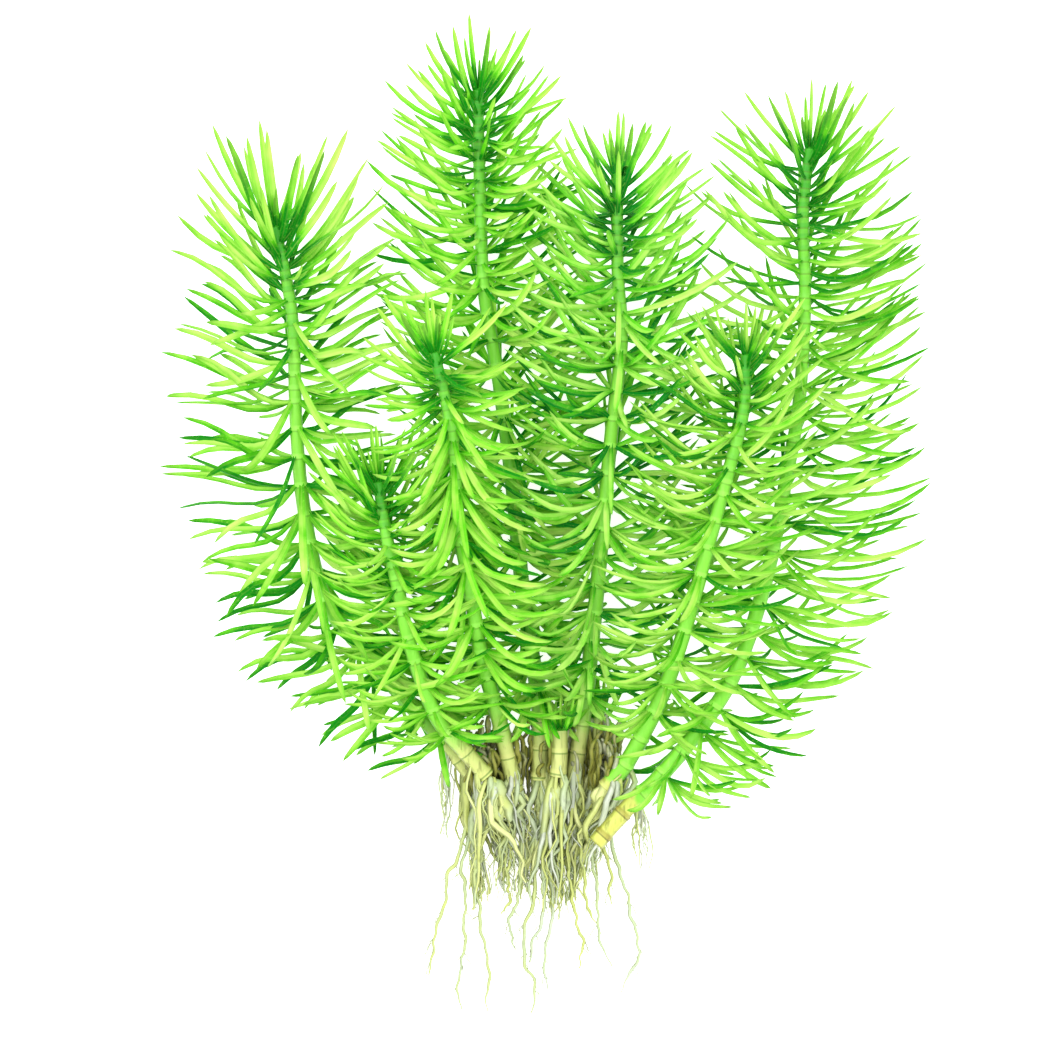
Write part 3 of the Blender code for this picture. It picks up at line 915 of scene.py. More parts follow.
@dataclass
class Shoot:
    """One stem with its whorls of leaves.

    Args:
        name: name of the shoot's node.
        points: route of the stem, from the crown to the cut end.
        gaps: space between whorls near the crown and lower down.
        leafy: share of the stem that bears leaves.
        reach: rows of (share, left out, left rise, right out, right rise, front rise).
        leaf_finish: finish of the leaves.
        stem_finish: finish of the stem.
        crown_tint: shade of the youngest leaves.
        dark_share: share of the leaves that are dark.
        crown_radius: radius of the stem at its crown.
        base_radius: radius at its cut end.
        gap_growth: share of the space still missing between whorls that the next one leaves.
        bud_height: height of the bud.
        leaf_half_width: half the usual width of a leaf.
        leaf_half_height: half its height.
        sag: how far a bent leaf hangs in the middle, as a share of its length.
        curl: how far it swings down and up again, as a share of its length.
        further: turns in degrees of a whorl's further leaves, between the first ones.
        heart: number of leaves folded round the tip.
        young: number of upright leaves round them.
        slot: name of a material slot, the shoot's name where none is given; it is not used.
        bud: form of the bud.
        blade: form of the blades.
        stem: form of the stem.
    """

    name: str
    points: list[Point]
    gaps: Pair
    leafy: float
    reach: list[tuple[float, ...]]
    leaf_finish: LeafFinish
    stem_finish: StemFinish
    crown_tint: float = 0.2
    dark_share: float = 0.2
    crown_radius: float = 1.3
    base_radius: float = 2.0
    gap_growth: float = 0.8
    bud_height: float = 9.0
    leaf_half_width: float = 0.96
    leaf_half_height: float = 0.5
    sag: float = 0.13
    curl: float = 0.0
    further: tuple[int, ...] = ()
    heart: int = 5
    young: int = 7
    slot: str = ""
    bud: BudForm = BudForm()
    blade: BladeForm = BladeForm()
    stem: StemForm = StemForm()
    route: Route = field(init=False)

    def __post_init__(self) -> None:
        """Works out the route, and the slot where none is given."""
        self.route = Route(self.points)
        self.slot = self.slot or self.name

    def node_places(self) -> list[float]:
        """Distances of the leaf nodes from the crown: close together there, even lower down."""
        first, full = self.gaps
        places = [first]
        while places[-1] + full < self.route.length:
            grown = full - (full - first) * self.gap_growth ** len(places)
            places.append(places[-1] + grown)
        return places

    def further_place(self, node: int, doubled: float) -> float:
        """Place of a node's further leaves: on the upper stem halfway to the next, else its own."""
        places = [*self.node_places(), self.route.length]
        upper = places[node] < doubled * self.leafy * self.route.length
        return (places[node] + places[node + 1]) / 2 if upper else places[node]

    def radius(self, at: Any) -> Any:
        """Radius of the stem, growing evenly from the crown to the cut end."""
        return self.crown_radius + (self.base_radius - self.crown_radius) * at / self.route.length

    def bud_tip(self) -> Array:
        """Top of the bud."""
        return self.route.point(0.0) - self.route.heading(0.0) * self.bud_height

    def reach_at(self, share: float) -> list[float]:
        """The reach row at a height, between the rows given."""
        rows = np.array(self.reach, float)
        return [float(np.interp(share, rows[:, 0], rows[:, k])) for k in range(1, 6)]

    def bud_leaves(self, rng: np.random.Generator) -> list[Leaf]:
        """The crown's youngest leaves: the heart, then the upright ones from the inside out."""
        form = self.bud
        crown = -self.route.heading(0.0)
        full = self.reach_at(0.0)[4]
        leaves = []
        for index in range(self.heart + self.young):
            inner = index < self.heart
            azimuth = index * form.turn + rng.uniform(-form.turn_chance, form.turn_chance)
            if not inner and math.sin(azimuth) > form.front:
                azimuth = -azimuth
            out = np.array([math.cos(azimuth), 0, math.sin(azimuth)])
            if inner:
                wide = rng.uniform(*form.heart_tilts)
                length = self.bud_height * rng.uniform(*form.heart_lengths)
                drop = 0.0
            else:
                least, more = form.upright_tilts
                wide = least + more * (index - self.heart + 0.5) / self.young
                length = full * rng.uniform(*form.upright_lengths)
                drop = rng.uniform(0.0, form.upright_drop)
            tilt = math.radians(wide)
            start = self.route.point(drop) + form.off_axis * out
            tip = start + length * (crown * math.cos(tilt) + out * math.sin(tilt))
            leaves.append(Leaf(start, tip, False, azimuth, 0.0, crown, inner))
        return leaves

    def blade_widths(
        self, lengths: Array, heights: Array, inner: Array, rng: np.random.Generator
    ) -> tuple[Array, Array]:
        """Half width of each blade by the sine of its turn and its length, and which are dark;
        leaves behind are likelier dark, a painted shade.
        """
        form = self.blade
        none, adding, least = form.growing
        full = self.leaf_half_width * rng.uniform(*form.width_shares, len(lengths))
        grown = np.clip(none + lengths / adding, least, 1.0)
        full *= np.where(inner, form.inner_width, 1.0) * grown
        # painted shade: leaves behind the stem are likelier to be dark
        behind = heights < -form.facing
        dark = rng.random(len(lengths)) < self.dark_share * np.where(behind, *form.dark_shares)
        full = full * np.where(dark, form.dark_width, 1.0)
        return full * np.where(heights > form.facing, 1.0, form.turned_width), dark

    def blade_tints(
        self, heights: Array, shares: Array, inner: Array, dark: Array, rng: np.random.Generator
    ) -> tuple[Array, Array]:
        """Tint of each blade by the sine of its turn and its place, and its youth from 1 to 0.
        Leaves behind take darker tints, a painted shade.
        """
        form = self.blade
        count = len(heights)
        # painted shade: leaves behind the stem take darker tints than those in front
        behind = rng.uniform(*form.behind_tints, count)
        front = rng.uniform(*form.front_tints, count)
        tint = np.where(heights < -form.facing, behind, front)
        tint = np.where(dark, rng.uniform(*form.dark_tints, count), tint)
        young = 1 - smooth_steps(shares, *form.young_until)
        shade = self.crown_tint + rng.uniform(*form.young_tints, count)
        tint = tint * (1 - young) + shade * young
        first = (heights > form.heart_facing) & (shares < form.heart_until) & (shares > 0)
        return np.where(inner | first, rng.uniform(*form.heart_tints, count), tint), young

    def leaf_sweep(self, leaves: list[Leaf], habit: LeafHabit, seed: int) -> Valued:
        """The blades of many leaves, as one sweep.

        A blade's line is start + offset * t, less length * (sag * 4t(1 - t) + curl * sin(2 pi t))
        along Y, with a bow of length * 4t(1 - t) along Z. Its half width follows a profile along t:
        narrow at the stem, nearly even, and tapering at the tip.

        Args:
            leaves: the leaves.
            habit: how leaves stand.
            seed: seed of the chance.

        Returns:
            The sweep and its point values.
        """
        form = self.blade
        rng = np.random.default_rng(seed)
        count = len(leaves)
        names = ("start", "tip", "crown", "azimuth", "share", "bent", "inner")
        columns = [np.array([getattr(leaf, name) for leaf in leaves]) for name in names]
        starts, tips, crowns, azimuths, shares, bent, inner = columns
        shifts = rng.normal(0, form.tip_chance, (count, 3))
        tips = tips + np.where(inner, 0.0, 1.0)[:, None] * shifts
        tips[:, 2] = np.maximum(tips[:, 2], habit.floor_room)
        offsets = tips - starts
        lengths = np.linalg.norm(offsets, axis=1)
        t, widths, section = np.array(form.stations), np.array(form.widths), np.array(form.section)

        roots = starts - unit(offsets) * form.rooted
        sags = np.where(bent, self.sag, form.straight_sag) * rng.uniform(*form.sags, count)
        curls = np.where(bent, self.curl, 0.0) + rng.normal(0, form.curl_chance, count)
        droop = sags[:, None] * 4 * t * (1 - t) + curls[:, None] * np.sin(math.tau * t)
        bow = rng.normal(0, form.bow_chance, (count, 1)) * 4 * t * (1 - t)
        lines = roots[:, None] + (tips - roots)[:, None] * t[:, None]
        lines[..., 1] -= droop * lengths[:, None]
        lines[..., 2] += bow * lengths[:, None]
        room = habit.floor_room * np.minimum(1, t / form.resting)
        lines[..., 2] = np.maximum(lines[..., 2], room)

        facing = crowns * form.lean[0] + np.array([0.0, 0.0, form.lean[1]])
        facing = facing + rng.normal(0, form.lean_chance, (count, 3))
        across, over = cross_frames(tangents(lines), facing[:, None])
        turn = rng.uniform(-form.twist, form.twist, (count, 1)) * t
        c, s = np.cos(turn)[..., None], np.sin(turn)[..., None]
        across, over = c * across + s * over, c * over - s * across

        heights = np.sin(azimuths)
        full, dark = self.blade_widths(lengths, heights, inner, rng)
        tint, young = self.blade_tints(heights, shares, inner, dark, rng)
        half_widths = full[:, None] * widths
        share = form.least_height + (1 - form.least_height) * widths
        half_heights = self.leaf_half_height * share * np.ones((count, 1))
        sweep = Sweep(lines, across, over, section, half_widths, half_heights, roots, tips)
        along = np.broadcast_to(t, (count, len(t)))
        values = {
            "tint": sweep.by_strand(tint),
            "young": sweep.by_strand(young),
            "along": sweep.by_station(along, np.zeros(count), np.ones(count)),
            "across": sweep.by_corner(section[:, 0]),
        }
        return sweep, values

    def stem_sweep(self, doubled: float) -> Valued:
        """The jointed stem.

        Its radius is the even radius times 1.06 + s * w. The swelling w is 0.08 exp(-d / 2.5) +
        0.05 exp(-(n / 0.55)^2), with d the way down from the node above and n the way to the
        nearest node. s is a smooth step from 4 to 20 mm below the crown: the stem there is even.

        Args:
            doubled: share of the stem down to which the further leaves have nodes of their own.

        Returns:
            The sweep and its point values.
        """
        form, length = self.stem, self.route.length
        own = self.node_places()
        places = np.unique([*own, *(self.further_place(node, doubled) for node in range(len(own)))])
        nodes = np.concatenate([[0.0], places, [length + form.beyond]])
        stations = [node + np.array(form.rings) for node in places]
        stations += [nodes[:-1] + np.diff(nodes) * share for share in form.between]
        at = np.unique(np.round(np.concatenate([[0.0, length], *stations]), 3))
        at = at[(at >= 0) & (at <= length)]
        above = np.searchsorted(places, at + 1e-6) - 1
        below = at - places[np.maximum(above, 0)]
        from_node = at - places[np.argmin(np.abs(at[:, None] - places), axis=1)]
        extra, dying = form.below_node
        upper = np.where(above >= 0, extra * np.exp(-below / dying), 0.0)
        extra, dying = form.at_node
        swell = upper + extra * np.exp(-((from_node / dying) ** 2))
        radii = self.radius(at) * (form.fullness + swell * smooth_steps(at, *form.swelling))

        line = self.route.point(at)[None]
        headings = self.route.heading(at)[None]
        across, over = cross_frames(headings, np.array([0.0, 0.0, 1.0]))
        first = line[:, 0] - headings[:, 0] * form.closing[0]
        last = line[:, -1] + headings[:, -1] * form.closing[1]
        section = round_section(form.sides)
        sweep = Sweep(line, across, over, section, radii[None], radii[None], first, last)
        none = np.zeros(1)
        far_end, far_node = (none + far for far in form.far)
        side = np.clip(from_node / form.edge, -1, 1)
        values = {
            "from_crown": sweep.by_station((at / length)[None], none, none + 1),
            "to_end": sweep.by_station((length - at)[None], far_end, none),
            "node_gap": sweep.by_station(np.abs(from_node)[None], far_node, far_node),
            "node_side": sweep.by_station(side[None], none, none),
            "round": sweep.by_corner(section[:, 0]),
        }
        return sweep, values

    def build(self, leaves: list[Leaf], habit: LeafHabit, seed: int) -> list[bpy.types.Object]:
        """Makes the leaves and the stem, and returns both pieces."""
        foliage, stem = Skin(), Skin()
        foliage.add(*self.leaf_sweep(leaves, habit, seed))
        stem.add(*self.stem_sweep(habit.doubled))
        return [
            foliage.piece(self.name + "_leaves", self.leaf_finish.build()),
            stem.piece(self.name + "_stem", self.stem_finish.build()),
        ]


@dataclass
class Planting:
    """The layout of every leaf of the clump.

    Args:
        shoots: the shoots.
        short_stems: the short stems, of which only the bud bears leaves.
        habit: how leaves stand.
    """

    shoots: list[Shoot]
    short_stems: list[Shoot]
    habit: LeafHabit

    def wishes(self, owner: int, shoot: Shoot) -> list[tuple[Any, ...]]:
        """Where the leaves of one shoot would like to lie."""
        habit = self.habit
        rng = np.random.default_rng(Seed.FIRST_LEAVES + owner)
        extra = np.random.default_rng(Seed.FURTHER_LEAVES + owner)
        wanted = []
        for node, own_place in enumerate(shoot.node_places()):
            share = own_place / (shoot.leafy * shoot.route.length)
            if share > 1:
                break
            row = shoot.reach_at(share)
            further_at = shoot.further_place(node, habit.doubled)
            further_row = shoot.reach_at(further_at / (shoot.leafy * shoot.route.length))
            extras = len(shoot.further) if share > habit.open_crown else habit.crown_between
            for side in range(habit.sides + extras):
                further = side >= habit.sides
                chance = extra if further else rng
                turn = shoot.further[side - habit.sides] if further else 360 * side / habit.sides
                azimuth = turn + habit.whorl_turn * (-1) ** node
                azimuth = math.radians(azimuth + habit.turn_jitter * chance.uniform(-1, 1))
                size = 1 + habit.length_jitter * chance.uniform(-1, 1)
                size *= habit.further_length if further else 1.0
                offset = habit.offset(further_row if further else row, azimuth) * size
                at = further_at if further else own_place
                facing = abs(math.sin(azimuth))
                if further:
                    reach = habit.between_lift[0] + habit.between_lift[1] * facing**2
                    offset = habit.turned(offset, 0.0, reach * extra.uniform(-1, 1))
                bent = facing < habit.straight_facing and share > habit.straight_share
                order = (further, round(facing, 1), node, owner, side)
                wanted.append((order, owner, at, offset, bent, azimuth, share, further))
        return wanted

    def place(
        self, thicket: Thicket, owner: int, start: Array, offset: Array, bent: bool, ease: float
    ) -> Array | None:
        """The first way of lying that clears the other shoots, or the nearest to it if eased."""
        best, most = None, -math.inf
        for turn, lift, share in self.habit.giving_way:
            line = self.habit.line(start, self.habit.turned(offset, turn, lift) * share, bent)
            spare = thicket.spare(line, owner, ease)
            if spare >= 0:
                return line
            if spare > most:
                best, most = line, spare
        return best if ease > 0 else None

    def leaves(self) -> dict[str, list[Leaf]]:
        """Places every leaf.

        Side leaves come first, then front and back ones, then the further leaves of every whorl.

        Returns:
            The leaves of each shoot, by its name.
        """
        habit = self.habit
        thicket = Thicket()
        for owner, shoot in enumerate(self.shoots):
            thicket.add(np.vstack([shoot.bud_tip(), shoot.route.line]), owner, habit.stem_room)
        for index, stem in enumerate(self.short_stems):
            tip = stem.route.point(0.0) - stem.route.heading(0.0) * self.shoots[0].bud_height
            line = np.vstack([tip, stem.route.line])
            thicket.add(line, len(self.shoots) + index, habit.stem_room)
        wishes = [self.wishes(owner, shoot) for owner, shoot in enumerate(self.shoots)]
        wanted = sorted((wish for own in wishes for wish in own), key=lambda wish: wish[0])
        placed: dict[str, list[Leaf]] = {shoot.name: [] for shoot in self.shoots}
        for _, owner, at, offset, bent, azimuth, share, further in wanted:
            shoot = self.shoots[owner]
            heading = shoot.route.heading(at)
            outward = unit(offset - (offset @ heading) * heading)
            start = shoot.route.point(at) + outward * shoot.radius(at)
            ease = habit.leaf_room - habit.narrow_room if further else 0.0
            line = self.place(thicket, owner, start, offset, bent, ease)
            right, top = habit.root_corner
            if line is None or (further and line[-1, 0] < right and line[-1, 1] < top):
                continue
            thicket.add(line, owner, habit.leaf_room)
            placed[shoot.name].append(Leaf(line[0], line[-1], bent, azimuth, share, -heading))
        for owner, shoot in enumerate([*self.shoots, *self.short_stems]):
            buds = shoot.bud_leaves(np.random.default_rng(Seed.BUDS + owner))
            placed[shoot.name] = placed.get(shoot.name, []) + buds
        return placed


# The clump's own shoots

GREENS = {
    "yellow": ((190, 234, 108), (150, 216, 72), (90, 190, 22), (8, 130, 16)),
    "mid": ((204, 244, 116), (164, 232, 78), (100, 206, 24), (10, 138, 14)),
    "bright": ((196, 240, 108), (154, 226, 70), (94, 200, 20), (8, 134, 12)),
    "teal": ((200, 242, 120), (158, 228, 84), (92, 200, 28), (2, 130, 30)),
}
YELLOW_GREEN, MID_GREEN, BRIGHT_GREEN, TEAL_GREEN = (
    LeafFinish(f"leaf_{name}_green", *(tone(*shade) for shade in shades))
    for name, shades in GREENS.items()
)
GREEN_STEM = StemFinish("stem_green", tone(94, 184, 40), tone(134, 220, 60), tone(196, 206, 118))
OLIVE_STEM = StemFinish("stem_olive", tone(98, 184, 44), tone(130, 210, 58), tone(192, 200, 116))
CREAM_STEM = StemFinish("stem_cream", tone(150, 186, 72), tone(180, 192, 96), tone(196, 202, 122))
LONG_GREEN_STEM = StemFinish(
    "stem_long_green", tone(96, 186, 40), tone(132, 216, 60), tone(196, 208, 100),
    base_start=4.0, base_full=1.0,
)
YELLOW_STUB_STEM = StemFinish(
    "stem_yellow_stub", tone(94, 184, 40), tone(130, 216, 56), tone(200, 206, 96),
    rooted_collar=tone(150, 132, 50), line=tone(84, 74, 20), base_start=16.0, base_full=14.5,
)


def clump_shoots() -> list[Shoot]:
    """The seven shoots, left to right and back to front."""
    return [
        Shoot(
            "left_shoot",
            [
                (-68, 73, 17), (-64, 51, 16), (-63, 24, 15), (-61, 2, 14), (-56, -20, 13),
                (-47, -32, 12), (-36.5, -44.5, 10), (-24.5, -57.5, 8), (-16.5, -68.5, 6.5),
            ],
            (3.5, 7.6), 0.89,
            [
                (0.0, 11, 31, 12, 31, 31), (0.05, 19, 25, 20, 26, 14), (0.12, 27, 14, 27, 15, -6),
                (0.2, 29, 8, 26, 10, -12), (0.3, 32, 3, 26, 4, -19), (0.38, 32, -3, 25, 0, -22),
                (0.5, 30, -6, 24, -4, -24), (0.7, 25, -8, 22, -8, -24), (0.86, 20, -9, 18, -9, -15),
                (1.0, 15, -7, 14, -5, -4),
            ],
            YELLOW_GREEN, OLIVE_STEM, crown_tint=0.15, dark_share=0.24, sag=0.06, curl=0.04,
            leaf_half_width=0.98, further=(30, 150, 210, 330, 270, 195, 345, 15),
        ),
        Shoot(
            "tall_back_shoot",
            [
                (-17.5, 107.5, 13), (-17, 84, 12), (-16, 58, 11), (-12.5, 36.5, 10), (-9, 10, 9),
                (-6, -20, 8), (-2, -48, 7), (-2, -68.5, 6),
            ],
            (2.4, 7.0), 0.88,
            [
                (0.0, 9, 19, 10, 22, 19), (0.04, 18, 13, 18, 14, 9), (0.1, 23, 11, 20, 10, 2),
                (0.25, 27, 13, 25, 12, -3), (0.6, 27, 9, 26, 8, -8), (0.8, 23, 1, 22, 1, -9),
                (1.0, 15, -5, 15, -5, -9),
            ],
            MID_GREEN, GREEN_STEM, crown_tint=0.35, leaf_half_width=0.88,
            further=(30, 150, 210, 330, 90, 270, 45, 135, 255, 285, 195, 345, 15),
        ),
        Shoot(
            "centre_shoot",
            [
                (17.5, 86, 20), (17.5, 62, 19), (18.5, 45, 19), (16, 22, 18), (14, 0, 17),
                (12, -22, 14), (9.5, -46, 9), (6, -68.5, 7),
            ],
            (3.2, 7.2), 0.88,
            [
                (0.0, 7, 19, 8, 18, 18), (0.05, 16, 16, 17, 14, 8), (0.12, 23, 12, 25, 13, -2),
                (0.3, 28, 12, 29, 13, -7), (0.6, 27, 7, 28, 8, -10), (0.8, 23, 0, 24, 1, -11),
                (1.0, 15, -3, 17, -2, -5),
            ],
            TEAL_GREEN, OLIVE_STEM, crown_tint=0.3, dark_share=0.27, leaf_half_width=0.9,
            further=(30, 150, 210, 330, 105, 270, 40, 140, 255, 285, 195, 345, 165),
        ),
        Shoot(
            "right_shoot",
            [
                (65.5, 92.5, 17), (64, 76, 16), (64.5, 54, 15), (63, 29, 15), (59.5, 8.5, 15),
                (55, -14, 15), (48, -36, 16), (39.5, -50.5, 17), (28, -64.5, 18), (22, -70, 18.5),
                (12, -81, 19),
            ],
            (3.0, 7.1), 0.88,
            [
                (0.0, 11, 20, 12, 22, 21), (0.05, 22, 15, 23, 16, 9), (0.12, 26, 13, 28, 13, -2),
                (0.4, 28, 10, 32, 8, -9), (0.62, 29, 7, 36, 4, -11), (0.75, 26, 2, 29, -2, -12),
                (0.9, 20, -3, 23, -4, -12), (1.0, 13, -7, 17, -8, -10),
            ],
            YELLOW_GREEN, YELLOW_STUB_STEM, crown_tint=0.3, leaf_half_width=0.82,
            further=(30, 150, 210, 330, 270, 345, 15),
        ),
        Shoot(
            "inner_right_shoot",
            [
                (49, 40.5, 31), (48.5, 27, 30), (45, 12.5, 29), (40, -6, 27), (35, -24.5, 24),
                (29, -43, 19), (20.5, -60, 15), (14.5, -67.5, 13),
            ],
            (2.8, 7.8), 0.83,
            [
                (0.0, 9, 17, 9, 18, 17), (0.08, 18, 13, 18, 13, 5), (0.2, 24, 9, 24, 10, -7),
                (0.6, 25, 4, 26, 5, -12), (1.0, 15, -4, 17, -5, -8),
            ],
            YELLOW_GREEN, LONG_GREEN_STEM, crown_tint=0.15, dark_share=0.08, leaf_half_width=0.8,
            further=(30, 150, 210, 330, 270, 15, 165, 255, 285, 195),
        ),
        Shoot(
            "front_shoot",
            [
                (-28, 41, 34), (-23.5, 20, 32), (-22, -1.5, 30), (-19, -19, 26), (-16.5, -34.5, 20),
                (-12.5, -49, 13), (-8, -68.5, 8),
            ],
            (2.8, 7.6), 0.84,
            [
                (0.0, 9, 20, 9, 21, 20), (0.05, 18, 9, 19, 9, 2), (0.1, 19, 0, 20, 0, -8),
                (0.18, 17, -9, 18, -8, -15), (0.3, 15, -12, 17, -11, -16),
                (0.5, 18, -9, 19, -8, -16), (0.7, 21, -4, 21, -4, -14), (1.0, 15, -3, 15, -3, -4),
            ],
            BRIGHT_GREEN, GREEN_STEM, leaf_half_width=0.9,
            further=(30, 150, 210, 330, 15, 165, 270, 255, 285, 195, 345, 225),
        ),
        Shoot(
            "small_front_shoot",
            [
                (-42, 9, 30), (-40, -4, 29), (-37, -18, 27), (-34.5, -30.5, 24), (-28, -49, 18),
                (-20, -59, 14.5), (-12.5, -67.5, 13),
            ],
            (2.6, 7.4), 0.82,
            [
                (0.0, 8, 19, 8, 19, 19), (0.1, 16, 13, 16, 13, 4), (0.25, 19, 8, 20, 8, -8),
                (0.6, 20, 2, 21, 3, -12), (1.0, 14, 0, 13, 0, -2),
            ],
            BRIGHT_GREEN, GREEN_STEM, crown_tint=0.35, leaf_half_width=0.76,
            further=(30, 150, 210, 330, 15, 165, 270, 255, 285, 195, 345, 225, 315),
        ),
    ]


def clump_short_stems() -> list[Shoot]:
    """The two short stems, each with a tuft of small leaves over its top."""
    routes = {
        "short_stem_1": [(3, -53, 13), (3, -61, 12.5), (2, -68.5, 12)],
        "short_stem_2": [(13, -50, 5.5), (13, -59, 5), (12, -68.5, 5)],
    }
    return [
        Shoot(
            name,
            points,
            (5.0, 6.5),
            0.0,
            [(0.0, 8, 9, 8, 9, 12)],
            MID_GREEN,
            CREAM_STEM,
            crown_tint=0.3,
            crown_radius=1.9,
            base_radius=2.0,
            bud_height=6.0,
            young=14,
            slot="short_stem",
        )
        for name, points in routes.items()
    ]


# Roots


class RootKind(Enum):
    """The kinds of root in the tangle."""

    HEEL = "heel"
    STRAND = "strand"
    TRAIL = "trail"
    HAIR = "hair"


def sway(t: Array, count: int, reach: Any, rng: np.random.Generator) -> Array:
    """Sideways sway of many strands along t: two sines of chance phase that die out at the start.

    Args:
        t: stations, from 0 to 1.
        count: number of strands.
        reach: size of the sway in millimetres, one number or one a strand as a column.
        rng: source of the chance.

    Returns:
        The sway, (strands, stations).
    """
    phase = rng.uniform(0, math.tau, (2, count, 1))
    turns = rng.uniform(0.6, 1.7, (count, 1))
    slow = np.sin(math.tau * turns * t + phase[0])
    quick = 0.5 * np.sin(math.tau * 2.3 * turns * t + phase[1])
    return reach * (slow + quick) * smooth_steps(t, 0.0, 0.3)


def root_values(sweep: Sweep, tint: Array, depth: float = 0.0) -> dict[str, Array]:
    """Point values of root strands.

    Args:
        sweep: the strands.
        tint: tint of each strand.
        depth: height below which a point counts as inside the tangle.

    Returns:
        The tint, the sides, and how deep a point lies, which paints shade inside the tangle: from 1
        at the surface to 0 at that height, dying out over the last half of the strand.
    """
    strands, stations, _ = sweep.counts
    loose = smooth_steps(np.linspace(0, 1, stations), 0.5, 0.95)
    deep = np.clip(1 - sweep.centres[..., 2] / max(depth, 1e-6), 0, 1) * (1 - loose)
    return {
        "tint": sweep.by_strand(tint),
        "deep": sweep.by_station(deep, deep[:, 0], np.zeros(strands)),
        "round": sweep.by_corner(sweep.section[:, 0]),
    }


@dataclass(frozen=True)
class StrandKind:
    """One kind of wavy strand in the tangle.

    Args:
        count: number of strands.
        radii: least, usual and greatest radius.
        above: least, usual and greatest height of their starts above the cut ends of the stems.
        tints: lowest and highest tint.
        lengths: least and greatest drop of those that hang free, or none for those that reach down.
        sway: size of the sway.
        spread: how far to each side of a stem those that hang free start, behind it.
    """

    count: int
    radii: tuple[float, float, float]
    above: tuple[float, float, float]
    tints: Pair
    lengths: Pair | None = None
    sway: float = 1.0
    spread: float = 0.0


@dataclass
class RootTangle:
    """The wavy roots under the stems, the long ones that trail from them, and their hairs.

    Args:
        name: name of the tangle's node.
        strands: the kinds of strand.
        bunches: x and y of the ends in which the strands gather.
        sides: least and greatest x at which a strand that hangs free starts, before its spread.
        off_axis: how far from the middle of a stem a strand starts.
        depth: height below which the strands take a painted shade, darker the lower they lie.
        start_height: height at which a trailing root leaves the tangle.
        lie: height of a root's middle on the surface.
        strand_lie: the same for the strands.
        heel_radius: radius of a heel at the cut end.
        heel_lengths: least and greatest length of a heel.
        heel_lie: least height of a heel's middle.
        trail_radii: radius of a trailing root at its start, and how much it loses.
        hairs: number of fine hairs on the trailing roots.
        hair_radius: usual radius of a hair.
        hair_reach: least and greatest reach of a hair to its side.
        hair_drop: least and greatest drop of a hair along Y.
        lowest: Y below which no hair hangs.
        trails: points of each trailing root on the surface.
    """

    name: str = "root_tangle"
    strands: tuple[StrandKind, ...] = (
        StrandKind(120, (0.5, 0.74, 1.1), (-1.5, 1.0, 9.0), (0.0, 0.72)),
        StrandKind(120, (0.2, 0.28, 0.42), (-1.5, 1.0, 13.0), (0.0, 0.8), sway=1.4),
        # painted shade: this kind hangs free behind the stem bases in dark olive, old roots that
        # also fill the shade between the stems
        StrandKind(340, (0.35, 0.5, 0.8), (4.0, 12.0, 24.0), (0.86, 1.1), (8.0, 16.0), 0.35, 3.2),
    )
    bunches: tuple[Pair, ...] = (
        (-17.4, -99.0), (-10.6, -95.0), (-4.4, -97.0), (1.9, -101.0), (6.9, -97.0), (10.6, -91.0),
    )
    sides: Pair = (-17.0, 15.0)
    off_axis: float = 1.1
    depth: float = 11.0
    start_height: float = 6.0
    lie: float = 0.8
    strand_lie: float = 0.7
    heel_radius: float = 1.95
    heel_lengths: Pair = (8.0, 11.0)
    heel_lie: float = 2.2
    trail_radii: Pair = (0.52, 0.2)
    hairs: int = 130
    hair_radius: float = 0.15
    hair_reach: Pair = (0.6, 2.8)
    hair_drop: Pair = (2.5, 7.0)
    lowest: float = -125.0
    trails: tuple[tuple[Pair, ...], ...] = (
        ((-22.4, -85), (-25, -89), (-25.4, -94), (-27.4, -102), (-29, -107), (-28.8, -110),
         (-30, -115.5)),
        ((-20.9, -85), (-22, -89), (-20.6, -93), (-21, -100), (-21, -109), (-22.6, -117),
         (-22, -124.3)),
        ((-18.4, -87), (-18.1, -93), (-17, -100), (-16.4, -106), (-14.6, -114), (-15.4, -120),
         (-15, -124.8)),
        ((-9.9, -89), (-9.9, -93), (-9.4, -96), (-11.4, -100)),
        ((-7, -91), (-7.1, -95), (-9.4, -101), (-9.4, -104.5), (-8, -109)),
        ((-3, -90), (-4, -98), (-5.5, -103), (-6, -109), (-5.8, -113), (-3, -117), (-4.1, -125)),
        ((-1, -90), (-1, -97), (-1.4, -103), (-4, -107), (-4.4, -112.3)),
        ((1, -90), (1.2, -96), (1.4, -102), (-0.5, -107.5), (-0.6, -113), (0.2, -119.3)),
        ((5.5, -90), (6.6, -97), (7.4, -102), (9, -107.3), (8, -113.8)),
        ((9, -88), (9.9, -96), (10.2, -99), (12.6, -102.3)),
        ((11.5, -86), (12.9, -98), (12.6, -102.3), (13.4, -106.3), (16, -113.3)),
        ((14, -82), (15.6, -86.5), (16.1, -90.5), (15.4, -94), (16.6, -97.5)),
        ((17, -85), (19.9, -93.8), (21.4, -101), (23.2, -108), (22.8, -111.5), (18.4, -119.8)),
    )

    def heel_sweep(self, routes: list[Route], rng: np.random.Generator) -> Valued:
        """The buried heels of the stems: each goes on from a cut end and narrows by 1 - 0.6 t^2."""
        count = len(routes)
        t = np.linspace(0, 1, 7)
        ends = np.array([route.point(route.length) for route in routes])
        ways = np.array([route.heading(route.length) for route in routes])
        ways = unit(ways + np.array([0.0, -0.8, -0.25]))
        spans = ways * rng.uniform(*self.heel_lengths, (count, 1))
        lines = (ends - ways)[:, None] + spans[:, None] * t[:, None]
        lines[..., 0] += sway(t, count, 0.4, rng)
        lines[..., 2] = np.maximum(lines[..., 2], self.heel_lie)
        ripples = 1 + 0.06 * np.sin(t * 14)
        radii = np.full((count, 1), self.heel_radius) * (1 - 0.6 * t**2) * ripples
        sweep = tubes(lines, radii, 10)
        return sweep, root_values(sweep, rng.uniform(0.05, 0.4, count), 3.0)

